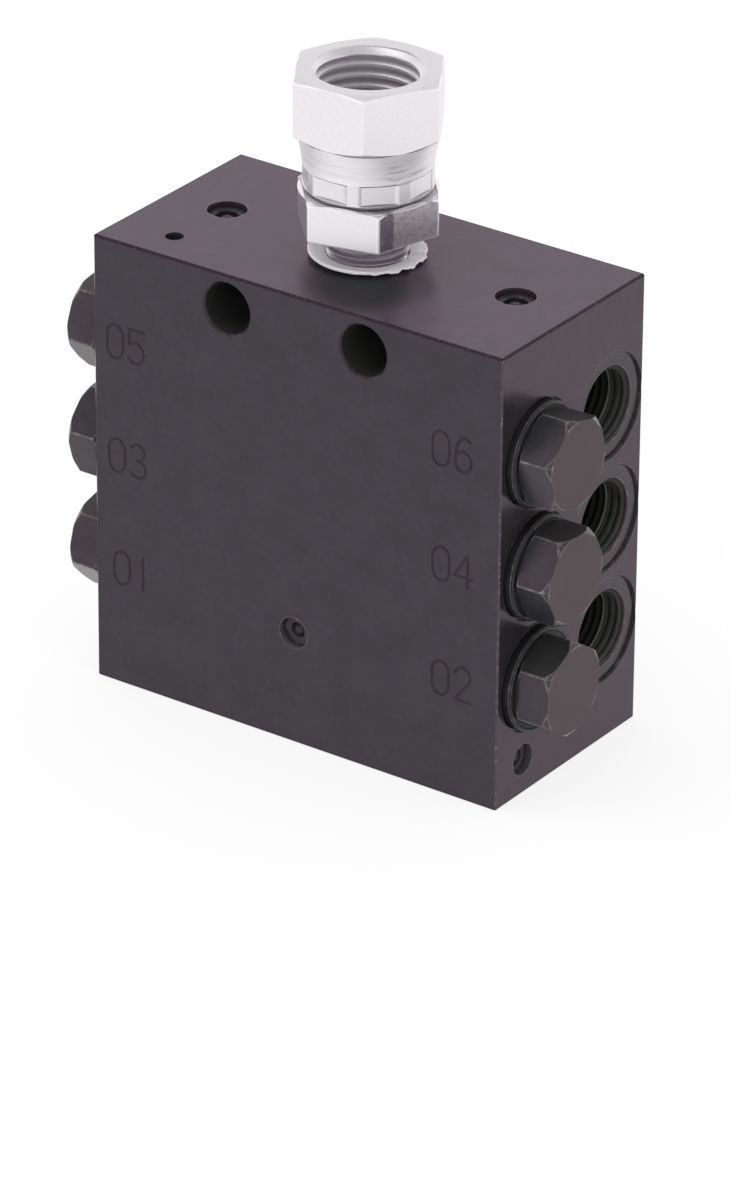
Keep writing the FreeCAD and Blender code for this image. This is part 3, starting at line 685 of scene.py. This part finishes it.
SEAL_BLACK = blackened_steel("black_sealing_ring", DULL_GLOSS, 0.4, seal_marks)
for side, row in OUTLETS:
    middle = (SEAL_HOLE + SEAL_GROOVE) / 2
    ring = turned(beside(side, row), "sealing_ring", [
        (middle, SEAL_LOW), (SEAL_HOLE, SEAL_LOW), (SEAL_HOLE, SEAL_HIGH),
        (SEAL_GROOVE - SEAL_GROOVE_SIZE, SEAL_HIGH), (SEAL_GROOVE, SEAL_HIGH - SEAL_GROOVE_SIZE),
        (SEAL_GROOVE + SEAL_GROOVE_SIZE, SEAL_HIGH), (SEAL_RIM - SEAL_EDGE, SEAL_HIGH),
        (SEAL_RIM, SEAL_HIGH - SEAL_EDGE), (SEAL_RIM, SEAL_LOW + SEAL_EDGE),
        (SEAL_RIM - SEAL_EDGE, SEAL_LOW), (middle, SEAL_LOW)], size=0.05)
    fitted(shown(f"sealing_ring_{side}_{row}", ring), SEAL_BLACK, MANIFOLD, "seal_metal",
           f"plug_seal_{side}_{row}")

# End plugs
# Blackened steel screws with a hexagon head and an M10 by 1 shank, turned from hexagon bar, so
# that the bevel cuts each flat in a curve. Each stopped where it was tight, so each is turned
# differently.
PLUG_FLATS, PLUG_FACE_CIRCLE, PLUG_TOP, PLUG_UNDER = 11.0, 11.3, 5.75, 1.1
PLUG_CORNER, PLUG_FACE_BEVEL = 0.2, np.radians(45)
PLUG_SHANK = {"wall": 4.42, "crest": 4.975, "low": -5.2, "high": 0.3, "pitch": 1.0, "back": 4.3}
PLUG_END, PLUG_END_BEVEL = -5.5, 0.4
FLAT_TONE, FACE_TONE = (0.037, 0.039, 0.043, 1.0), (0.025, 0.020, 0.018, 1.0)
# Painted shade on the flats that face up
SHADED_UP_FLAT = (0.028, 0.030, 0.029, 1.0)
HEXAGON_BEVEL = np.radians(30)
# How much of each turned piece's edges is rounded away, and the step between two rows of one edge
TURNED_EDGE, ROW_STEP = 0.12, 0.01


def corner_reach(flats, rounding):
    """Half the angle that a hexagon's rounded corner takes up, seen from the middle."""
    return np.pi / 6 - np.arctan((flats / 2 - rounding) / (flats / 2) * np.tan(np.pi / 6))


def round_hexagon(turn, reach):
    """Angles once round a hexagon with its first corner at a turn, close together at the corners."""
    at_corner = reach * np.array([-1.6, -1.0, -0.6, -0.2, 0.2, 0.6, 1.0, 1.6])
    between = np.linspace(1.6 * reach, np.pi / 3 - 1.6 * reach, 10)[1:-1]
    corners = np.arange(6)[:, None] * np.pi / 3
    return turn + (corners + np.concatenate([at_corner, between])).ravel()


def hexagon(angle, flats, turn, rounding):
    """Radius of a hexagon with rounded corners at each angle, and the angle's share of a corner.

    On a flat the radius is half the width over the cosine of the angle from its middle. At a corner
    it is c cos a + sqrt(r^2 - (c sin a)^2): a circle of radius r whose centre lies c out.
    """
    off_corner = np.abs((angle - turn + np.pi / 6) % (np.pi / 3) - np.pi / 6)
    reach = corner_reach(flats, rounding)
    out = (flats / 2 - rounding) / np.cos(np.pi / 6)
    short = np.maximum(rounding**2 - (out * np.sin(off_corner)) ** 2, 0)
    at_corner = out * np.cos(off_corner) + np.sqrt(short)
    on_flat = flats / 2 / np.cos(np.pi / 6 - off_corner)
    share = np.clip((1.6 - off_corner / reach) / 0.6, 0, 1)
    return np.where(off_corner < reach, at_corner, on_flat), share


def corner_turn(node, axis):
    """Where a CAD node's hexagon has a corner: the angle of its farthest point from the axis."""
    from_centre = node_points(node) / MM - axis[3]
    across, up = from_centre @ axis[0], from_centre @ axis[1]
    farthest = np.argmax(np.hypot(across, up))
    return np.arctan2(up[farthest], across[farthest])


def plug_marks(finish):
    """Rubbed edges, on a plug whose flats are bluer than its face and painted darker as shade where they
    face up.
    """
    outwards = finish.along((0, 0, 0), (1, 0, 0)).size()
    face = BLOCK_HIGH.x / MM + PLUG_TOP
    on_face = finish.ramp(outwards, face - 0.2, face - 0.1)
    # Painted shade where the flats face up
    dulled_and_shaded = finish.ramp(finish.faces_up(), 0.6, 0.9)
    tone = finish.tint(on_face, FLAT_TONE, FACE_TONE)
    return finish.tint(dulled_and_shaded, tone, SHADED_UP_FLAT), worn(finish), finish.noise(0.8, detail=3.0), 0.6 * dulled_and_shaded


PLUG_BLACK = blackened_steel("black_oxide_plug", BROWN_GLOSS, 0.2, plug_marks)
for side, row in OUTLETS:
    axis = beside(side, row)
    turn = corner_turn(f"end_plug_{side}_{row}", axis)
    angle = round_hexagon(turn, corner_reach(PLUG_FLATS, PLUG_CORNER))
    radius, corner = hexagon(angle, PLUG_FLATS, turn, PLUG_CORNER)
    face = np.minimum(radius, PLUG_FACE_CIRCLE / 2)
    above = PLUG_TOP - ROW_STEP - (radius - face) * np.tan(PLUG_FACE_BEVEL)
    below = PLUG_UNDER + ROW_STEP + (radius - face) * np.tan(HEXAGON_BEVEL)
    shank = PLUG_SHANK["wall"]
    head = turned(axis, "head", [
        (0, PLUG_TOP), (face - ROW_STEP, PLUG_TOP), (radius, above), (radius, below),
        (face - ROW_STEP, PLUG_UNDER), (shank, PLUG_UNDER), (shank, PLUG_END + PLUG_END_BEVEL),
        (shank - PLUG_END_BEVEL, PLUG_END), (0, PLUG_END)], angle, TURNED_EDGE, corner)
    piece = together(f"hexagon_plug_{side}_{row}", [head, thread(axis, "thread", **PLUG_SHANK)])
    fitted(piece, PLUG_BLACK, MANIFOLD, "plug_black", f"end_plug_{side}_{row}")

# Passage plugs
# Where a drilling had to start outside, its mouth is closed by a blackened cup with a steel ball
# driven into it. They keep the solids' shape.


def plain_marks(finish):
    """A few bright flecks."""
    flecks = finish.ramp(finish.noise(0.5, detail=3.0), 0.6, 0.75)
    return SIDE_TONE, 0.25 * flecks, flecks, 0.0


def sleeve_marks(finish):
    """Bright flecks, and in the front and side plugs' recesses a pale wall round the ball, which is painted
    light.
    """
    tone, rubbed, relief, dulled_and_shaded = plain_marks(finish)
    for place in PAINTED_LIGHT_RECESSES:
        low, high = (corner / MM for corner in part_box(f"passage_ball_{place}"))
        off_wall = finish.off_axis((low + high) / 2, PASSAGES[place]) - max(high - low) / 2
        tone = finish.tint(1 - finish.ramp(off_wall, 0.03, 0.08), tone, PAINTED_LIGHT_RECESS_TONE)
    return tone, rubbed, relief, dulled_and_shaded


for piece, marks in ("sleeve", sleeve_marks), ("ball", plain_marks):
    finished(blackened_steel(f"black_passage_{piece}", VIOLET_GLOSS, 0.3, marks),
             *(f"passage_{piece}_{place}" for place in PASSAGES))

# Inlet washer
# A thin ring of soft pale metal, squeezed between the port's mouth and the neck. It has cupped up
# on the left, and on the right its rim is torn and chewed.
UPWARDS = axis_frame((0, 0, 1), (0, 0, BLOCK_HIGH.z / MM))
WASHER_HOLE, WASHER_RIM, WASHER_THICKNESS, WASHER_DISH = 5.04, 7.3, 0.45, 0.55
WASHER_TURN = np.linspace(0, 2 * np.pi, 288, endpoint=False)
WASHER_PALE, WASHER_PALEST, WASHER_DIRT = (0.96, 0.93, 0.95, 1.0), (1.0, 0.98, 0.99, 1.0), grey(0.14, 0.1)


def pale_metal(name):
    """Dull soft metal, nearly white, with smears and a few dark bits of dirt."""
    finish = Finish(bpy.data.materials.new(name))
    smears = finish.noise(1.6, detail=4.0)
    dirt = finish.ramp(finish.noise(0.5, detail=3.0), 0.66, 0.74)
    pale = finish.tint(smears, WASHER_PALE, WASHER_PALEST)
    return finish.paint(
        Base_Color=finish.tint(dirt, pale, WASHER_DIRT),
        Roughness=0.35 + 0.15 * smears,
        Normal=finish.bump(finish.noise(0.4, detail=4.0), 0.02),
    )


def washer_mesh():
    """Dished ring whose rim goes in and out and up and down as sums of sine waves of the angle.

    The waves are small on the left and large on the right, where the rim is torn.
    """
    angle = WASHER_TURN
    torn = np.clip(1.3 * np.cos(angle - np.radians(5)), 0, 1) ** 2
    teeth = np.sin(9 * angle + 1) * np.sin(23 * angle) + 0.6 * np.sin(41 * angle + 2)
    rim = WASHER_RIM - 0.05 - torn * (0.12 + 0.14 * teeth)
    lift = WASHER_DISH * (0.75 - 0.25 * np.cos(angle - np.radians(30)) + 0.25 * torn * np.sin(17 * angle))
    thick = WASHER_THICKNESS * (1 - 0.35 * torn)
    middle = (WASHER_HOLE + rim) / 2
    return turned(UPWARDS, "washer", [
        (middle, 0.5 * lift), (WASHER_HOLE, 0), (WASHER_HOLE, WASHER_THICKNESS),
        (middle, 0.4 * lift + WASHER_THICKNESS), (rim, lift + thick), (rim, lift), (middle, 0.5 * lift),
    ], angle, TURNED_EDGE)


fitted(shown("torn_inlet_washer", washer_mesh()), pale_metal("dull_pale_metal"), MANIFOLD, "washer_pale",
       "inlet_washer")

# Inlet stem
# Zinc-plated steel adapter turned from hexagon bar: a taper thread into the block, a hexagon to
# tighten it by, and above that a journal and collar that the swivel nut is crimped over.
STEM_FLATS, STEM_FACE_CIRCLE, STEM_CORNER = 15.88, 17.1, 0.35
STEM_LOW, STEM_NECK, STEM_TOP = -8.5, 3.9, 8.85
STEM_TAPER = 0.0625
STEM_FOOT, STEM_FOOT_BEVEL, NECK_FLARE_LOW, NECK_RADIUS = 3.3, 0.3, 3.2, 5.12
JOURNAL, COLLAR, COLLAR_LOW, COLLAR_HIGH = 5.0, 6.3, 12.1, 13.7
NOSE_FOOT, NOSE_TIP, NOSE_TOP, STEM_BORE = 5.7, 4.3, 16.0, 2.5
NECK_THREAD = {"wall": 4.45, "crest": 5.0, "low": -8.2, "high": 3.3, "pitch": 0.94, "back": 4.3}
ZINC_RELIEF = 0.02
# Heights above the underside where the flats, their bevel and the neck, painted dark as shade, show
FLATS_SHOW, BEVEL_SHOWS, NECK_SHOWS = (64.0, 68.9), (68.0, 68.85), (60.4, 63.7)
# The dark band on the flat, and the neck's two turns painted darker as shade in thread grooves
DARK_BAND, NECK_TURNS, NECK_TURN_WIDTH = (0.5, 2.5), (60.95, 61.6), 0.25
# Between these distances from the axis towards the front and right, the bevel turns from dark to dull; the
# dark is a painted reflection
FORWARDS, BEVEL_TURNS_DULL = (0.577, -0.816, 0), (1.5, 5.0)


def toned(colour, factor):
    """A colour made lighter or darker."""
    return (*(factor * part for part in colour), 1.0)


ZINC_TINT, DARK_ZINC = (1.0, 0.968, 1.0), (0.36, 0.32, 0.37, 1.0)
CLEAN_ZINC, LIGHT_GRAIN, DARK_GRAIN, TURNED_ZINC, DULL_ZINC, ZINC_SPECK = (
    toned(ZINC_TINT, factor) for factor in (1.0, 0.91, 0.80, 0.75, 0.62, 0.4))


def zinc_plate(name, wear):
    """Bright zinc on steel: pale, satin and faintly violet, with fine specks.

    The wear gives the shares of the surface that are clean, turned, darkened, dull and rough, where
    darkened also holds painted shade, how far its rounded edges are painted dark as shade, and how far
    bright.
    """
    finish = Finish(bpy.data.materials.new(name))
    clean, turning, darkened, dull, rough, shaded_edges, bright = wear(finish)
    rings = finish.noise(0.16, stretch=(40, 40, 1), detail=3.0)
    grain = finish.noise(0.45, detail=5.0)
    specks = finish.ramp(finish.noise(0.25, detail=2.0), 0.70, 0.78)
    edge = finish.attribute("edge")
    zinc = finish.tint(clean, finish.tint(grain, DARK_GRAIN, LIGHT_GRAIN), CLEAN_ZINC)
    for share, other in ((0.6 * turning * finish.ramp(rings, 0.45, 0.7), TURNED_ZINC), (darkened, DARK_ZINC),
                         (dull, DULL_ZINC), (edge * shaded_edges, DARK_ZINC), (edge * bright, CLEAN_ZINC),
                         (0.4 * specks, ZINC_SPECK)):
        zinc = finish.tint(share, zinc, other)
    return finish.paint(
        Base_Color=zinc,
        Metallic=1 - 0.5 * (edge * bright).highest(rough),
        Roughness=0.26 + 0.12 * grain + 0.06 * turning + 0.12 * dull + 0.15 * rough,
        Normal=finish.bump(grain * 0.5 + rings * turning * 1.5, ZINC_RELIEF),
    )


def stem_wear(finish):
    """Bright edges, a dark band beside the front corner, and a neck painted dark as shade.

    The band is measured from the corner along the flat on its right. The hexagon's bevel is dull
    towards the front and right, and dark at its sides and back as a painted reflection.
    """
    height = finish.along((0, 0, 0), (0, 0, 1))
    corner = STEM_FLATS / 2 / np.cos(np.pi / 6) * np.array([np.cos(FRONT_CORNER), np.sin(FRONT_CORNER), 0])
    beside_corner = FRONT_CORNER + np.radians(120)
    across = finish.along(corner, (np.cos(beside_corner), np.sin(beside_corner), 0))
    hairs = finish.noise(0.25, stretch=(1, 1, 8), detail=3.0)
    on_flats = finish.within(height, *FLATS_SHOW, 0.1)
    band = on_flats * finish.within(across + 0.6 * hairs, *DARK_BAND, 0.2)
    spots = finish.ramp(finish.noise(0.5, detail=4.0), 0.45, 0.65)
    speckled = on_flats * finish.ramp(across, 0.1, 0.3) * spots
    darkened = 0.95 * band * finish.ramp(hairs, 0.25, 0.5) + 0.35 * speckled
    # Painted shade on the neck under the hexagon, darker at two turns
    lower_turn, upper_turn = (finish.near(height, turn, NECK_TURN_WIDTH) for turn in NECK_TURNS)
    neck = finish.within(height, *NECK_SHOWS, 0.1) * (0.5 + 0.4 * lower_turn.highest(upper_turn))
    bevel = finish.within(height, *BEVEL_SHOWS, 0.1) * finish.ramp(finish.faces_up(), 0.6, 0.8)
    # Painted reflection: the bevel is dark at its sides and back
    dark_bevel = bevel * (1 - finish.ramp(finish.along((0, 0, 0), FORWARDS), *BEVEL_TURNS_DULL))
    dark = darkened.highest(neck).highest(0.6 * dark_bevel)
    return 0.0, 0.0, dark, 0.5 * bevel, 0.8 * bevel, 0.0, 0.9 - 0.7 * dark_bevel


def stem_mesh():
    """Hexagon, neck, journal, collar and nose about the inlet's axis, bored through."""
    turn = corner_turn("inlet_stem", UPWARDS)
    angle = round_hexagon(turn, corner_reach(STEM_FLATS, STEM_CORNER))
    radius, corner = hexagon(angle, STEM_FLATS, turn, STEM_CORNER)
    bevel = STEM_TOP - (radius - STEM_FACE_CIRCLE / 2) * np.tan(HEXAGON_BEVEL)
    root = NECK_THREAD["wall"]
    foot = root + STEM_LOW * STEM_TAPER / 2
    return turned(UPWARDS, "stem", [
        (STEM_FOOT, STEM_LOW), (foot - STEM_FOOT_BEVEL, STEM_LOW), (foot, STEM_LOW + STEM_FOOT_BEVEL),
        (root + 0.11, NECK_FLARE_LOW), (NECK_RADIUS, STEM_NECK), (radius, STEM_NECK), (radius, bevel),
        (STEM_FACE_CIRCLE / 2, STEM_TOP), (JOURNAL, STEM_TOP), (JOURNAL, COLLAR_LOW), (COLLAR, COLLAR_LOW),
        (COLLAR, COLLAR_HIGH), (NOSE_FOOT, COLLAR_HIGH), (NOSE_TIP, NOSE_TOP), (STEM_BORE, NOSE_TOP),
        (STEM_BORE, STEM_LOW), (STEM_FOOT, STEM_LOW)], angle, TURNED_EDGE, corner)


# Which of the stem's corners points most to the front and right
FRONT_CORNER = (corner_turn("inlet_stem", UPWARDS) + np.radians(90)) % np.radians(60) - np.radians(90)
STEM_ZINC = zinc_plate("zinc_plated_stem", stem_wear)
neck_thread = thread(UPWARDS, "thread", taper=STEM_TAPER, **NECK_THREAD)
stem = together("threaded_inlet_stem", [stem_mesh(), neck_thread])
fitted(stem, STEM_ZINC, MANIFOLD, "zinc_plate", "inlet_stem")

# Swivel nut
# Zinc-plated steel turned from hexagon bar, with a screwed mouth for the feed line's fitting. Its
# skirt was dropped over the stem's collar and pressed in at eight places, so that it turns freely.
NUT_FLATS, NUT_FACE_CIRCLE, NUT_CORNER = 17.46, 17.2, 0.3
NUT_LOW, NUT_SHOULDER, NUT_TOP = 9.0, 16.35, 24.2
NUT_FACE_BEVEL = np.radians(12)
SKIRT, SHOULDER, SKIRT_EDGE, SKIRT_TAPER = 8.0, 8.7, 0.5, 3.9
PAD_LEVEL, PAD_HEIGHT, PAD_REACH, PADS = 7.6, 2.5, 2.25, 8
PAD_FOOT = NUT_LOW + 0.65
PAD_STEP = 0.04
NUT_THREAD = {"wall": 6.79, "crest": 6.05, "low": 16.45, "high": 24.06, "pitch": 1.411, "back": 6.9}
NUT_MOUTH, NUT_BORE, NUT_THROAT, THROAT_TOP, SKIRT_FOOT = 6.8, 6.5, 5.08, 11.9, 6.0
# Where the skirt is streaked darkest, at the front and right, and from where to where it fades
DARK_PATCH, PATCH_REACH, PATCH_HEIGHT = (7.5, -2.7, 74.0), (0.5, 4.5), (73.6, 76.0)
# Heights above the underside where the pads end, where the skirt does, and at the nut's mouth
PADS_END, SKIRT_ENDS, MOUTH_STARTS, FACE_STARTS = (72.0, 72.3), (76.4, 76.8), (83.2, 83.6), (83.6, 83.8)


def nut_wear(finish):
    """Clean turned skirt with a darker streaked patch, dull face, rough mouth, and painted shadow on the
    skirt's edges along the pads.

    The thread's roots in the mouth are painted dark as shade.
    """
    height, out = finish.along((0, 0, 0), (0, 0, 1)), finish.off_axis((0, 0, 0), (0, 0, 1))
    above = finish.ramp(height, *SKIRT_ENDS)
    mouth = above * (1 - finish.ramp(out, 6.83, 6.87))
    skirt = finish.ramp(out, 7.2, 7.4) * (1 - above)
    plain = skirt * finish.ramp(height, *PADS_END)
    hairs = finish.noise(0.35, stretch=(9, 9, 1), detail=4.0)
    off_patch = finish.ramp(finish.off_axis(DARK_PATCH, (0, 0, 1)), *PATCH_REACH)
    patch = 1 - off_patch.highest(finish.ramp(height, *PATCH_HEIGHT))
    darkened = 0.55 * plain * patch * finish.ramp(hairs, 0.48, 0.58)
    face = finish.ramp(height, *FACE_STARTS) * finish.ramp(finish.faces_up(), 0.9, 0.95)
    # Painted shade in the thread's roots in the mouth
    roots = 0.9 * mouth * finish.ramp(out, 6.25, 6.7) * (1 - finish.ramp(height, *MOUTH_STARTS))
    outside = finish.ramp(out, 7.5, 7.6)
    dark = darkened.highest(0.6 * roots)
    dull = (0.5 * face).highest(0.2 * (skirt - plain))
    rough = (0.6 * mouth).highest(0.7 * plain)
    # Painted shadow on the skirt's rounded edges, along the pad steps
    return plain, plain, dark, dull, rough, 0.9 * skirt, 0.9 * (outside - skirt * outside)


def nut_mesh():
    """Hexagon and crimped skirt about the inlet's axis, round a stepped bore.

    On a crimp pad the skirt's radius is the pad's level over the cosine of the angle from the pad's
    middle, which makes the pad flat. Under the hexagon the skirt's radius grows with the power
    1.4 of the height above where it starts to flare.
    """
    turn = corner_turn("swivel_nut", UPWARDS)
    half_pad = np.arctan(PAD_REACH / PAD_LEVEL)
    pad_middles = np.arange(PADS)[:, None] * 2 * np.pi / PADS
    pad_edges = pad_middles + half_pad * np.array([-1.02, -1.0, 1.0, 1.02])
    angle = np.concatenate([round_hexagon(turn, corner_reach(NUT_FLATS, NUT_CORNER)), pad_edges.ravel()])
    angle = np.unique(np.round(angle % (2 * np.pi), 6))
    radius, corner = hexagon(angle, NUT_FLATS, turn, NUT_CORNER)
    off_pad = np.abs((angle + np.pi / PADS) % (2 * np.pi / PADS) - np.pi / PADS)
    pad = np.where(off_pad < 1.01 * half_pad, PAD_LEVEL / np.cos(off_pad), SKIRT)
    pad_top = PAD_FOOT + PAD_HEIGHT
    below = NUT_SHOULDER + (radius - SHOULDER) * np.tan(HEXAGON_BEVEL)
    above = NUT_TOP - (radius - NUT_FACE_CIRCLE / 2) * np.tan(NUT_FACE_BEVEL)
    flare = [(SKIRT + (SHOULDER - SKIRT) * share**1.4, NUT_SHOULDER - SKIRT_TAPER * (1 - share))
             for share in np.linspace(0, 1, 8)]
    return turned(UPWARDS, "nut", [
        (SKIRT_FOOT, NUT_LOW), (SKIRT - SKIRT_EDGE, NUT_LOW), (SKIRT, NUT_LOW + SKIRT_EDGE),
        (SKIRT, PAD_FOOT - PAD_STEP), (pad, PAD_FOOT + PAD_STEP), (pad, pad_top - PAD_STEP),
        (SKIRT, pad_top + PAD_STEP), *flare,
        (radius, below), (radius, above), (NUT_FACE_CIRCLE / 2, NUT_TOP), (NUT_MOUTH, NUT_TOP),
        (NUT_MOUTH, NUT_SHOULDER), (NUT_BORE, NUT_SHOULDER), (NUT_BORE, THROAT_TOP),
        (NUT_THROAT, THROAT_TOP), (NUT_THROAT, NUT_LOW), (SKIRT_FOOT, NUT_LOW),
    ], angle, TURNED_EDGE, 0.3 * corner)


nut = together("crimped_swivel_nut", [nut_mesh(), thread(UPWARDS, "thread", **NUT_THREAD)])
fitted(nut, zinc_plate("zinc_plated_nut", nut_wear), "inlet_swivel", "zinc_plate", "swivel_nut")

# Studio
# A white table in white surroundings, under one large soft lamp. Polished metal mirrors a grey
# ceiling, so that edges and bevels read, and a white wall behind the block.
TABLE_SIZE = 4.0
WALL_MIDDLE = (-0.514, 0.726, 0.457)
TABLE_GLOW = 0.8
MIRRORED_CEILING = 0.3
SKY_LIGHT, SKY_LOSS_ABOVE = 1.1, 0.2
LAMP_PLACE, LAMP_SIZE, LAMP_WATTS, LAMP_AIM = (-0.3, -0.2, 0.9), 0.6, 1.5, (0, 0, 0.03)


def table_mesh():
    """Flat square of four points at the height of the block's underside."""
    mesh = bpy.data.meshes.new("table")
    corners = TABLE_SIZE / 2 * np.array([[-1, -1, 0], [1, -1, 0], [1, 1, 0], [-1, 1, 0]])
    mesh.from_pydata(corners, [], [[0, 1, 2, 3]])
    return mesh


def rays(finish, *kinds):
    """One for rays of some kinds, and nought for the others."""
    first, *others = (finish.node("LightPath", output=f"Is {kind} Ray") for kind in kinds)
    for other in others:
        first = first.highest(other)
    return first


def table_white():
    """White that stays white where it is seen, with part of its brightness left to the light on it."""
    finish = Finish(bpy.data.materials.new("table_white"))
    seen = rays(finish, "Camera", "Glossy", "Transmission")
    lit = finish.node("BsdfDiffuse", inputs={"Color": finish.tint(seen, grey(0.5), grey(1.0))})
    glow = finish.node("Emission", inputs={"Color": grey(1.0), "Strength": 1.0})
    surface = finish.node("MixShader", inputs={0: TABLE_GLOW * seen, 1: lit, 2: glow})
    finish.node("OutputMaterial", inputs={"Surface": surface})
    return finish.holder


def studio_world():
    """White where it is seen. In reflections, white below and at the wall's height, and grey above.

    The light that it throws on the object gets a little weaker from level upwards.
    """
    finish = Finish(bpy.data.worlds.new("studio"))
    direction = finish.node("TexCoord", output="Generated")
    up = finish.parts(direction)[2]
    towards_wall = finish.ramp(finish.dot(direction, WALL_MIDDLE), 0.74, 0.92)
    bright = (1 - finish.ramp(up, 0.5, 0.75)).highest(towards_wall)
    seen, mirror = rays(finish, "Camera"), rays(finish, "Glossy", "Transmission")
    mirrored = mirror * (MIRRORED_CEILING + (1 - MIRRORED_CEILING) * bright)
    light = (1 - seen.highest(mirror)) * (SKY_LIGHT - SKY_LOSS_ABOVE * finish.ramp(up, 0.4, 1.0))
    strength = seen.highest(mirrored).highest(light)
    glow = finish.node("Background", inputs={"Color": grey(1.0), "Strength": strength})
    finish.node("OutputWorld", inputs={"Surface": glow})
    return finish.holder


def soft_lamp(name):
    """Square lamp that looks at the block's middle."""
    lamp = bpy.data.objects.new(name, bpy.data.lights.new(name, "AREA"))
    bpy.context.scene.collection.objects.link(lamp)
    lamp.data.size = LAMP_SIZE
    lamp.data.energy = LAMP_WATTS
    lamp.location = LAMP_PLACE
    lamp.rotation_euler = (Vector(LAMP_PLACE) - Vector(LAMP_AIM)).to_track_quat("Z", "Y").to_euler()


table = shown("table", table_mesh())
table.data.materials.append(table_white())
bpy.context.scene.world = studio_world()
soft_lamp("lamp_over")
bpy.context.scene.view_settings.view_transform = "Standard"

# Camera
# A long lens nearly a metre away, looking down on the numbered front, the top and the right side.
CAMERA_AIM = Vector((0.03, 0.02, 13.28)) * MM
CAMERA_DISTANCE = 895.7 * MM
CAMERA_AZIMUTH, CAMERA_ELEVATION, CAMERA_ROLL = np.radians([35.291, 27.173, 0.424])
CAMERA_LENS = 218.68


def take_camera():
    """Camera at its distance from what it aims at, turned by azimuth and elevation and then rolled."""
    camera = bpy.data.objects.new("camera", bpy.data.cameras.new("camera"))
    bpy.context.scene.collection.objects.link(camera)
    flat = np.cos(CAMERA_ELEVATION)
    back = Vector((np.sin(CAMERA_AZIMUTH) * flat, -np.cos(CAMERA_AZIMUTH) * flat, np.sin(CAMERA_ELEVATION)))
    right = Vector((np.cos(CAMERA_AZIMUTH), np.sin(CAMERA_AZIMUTH), 0))
    turn = Matrix((right, back.cross(right), back)).transposed().to_4x4()
    roll = Matrix.Rotation(CAMERA_ROLL, 4, "Z")
    camera.matrix_world = Matrix.Translation(CAMERA_AIM + CAMERA_DISTANCE * back) @ turn @ roll
    camera.data.lens = CAMERA_LENS
    bpy.context.scene.camera = camera


take_camera()
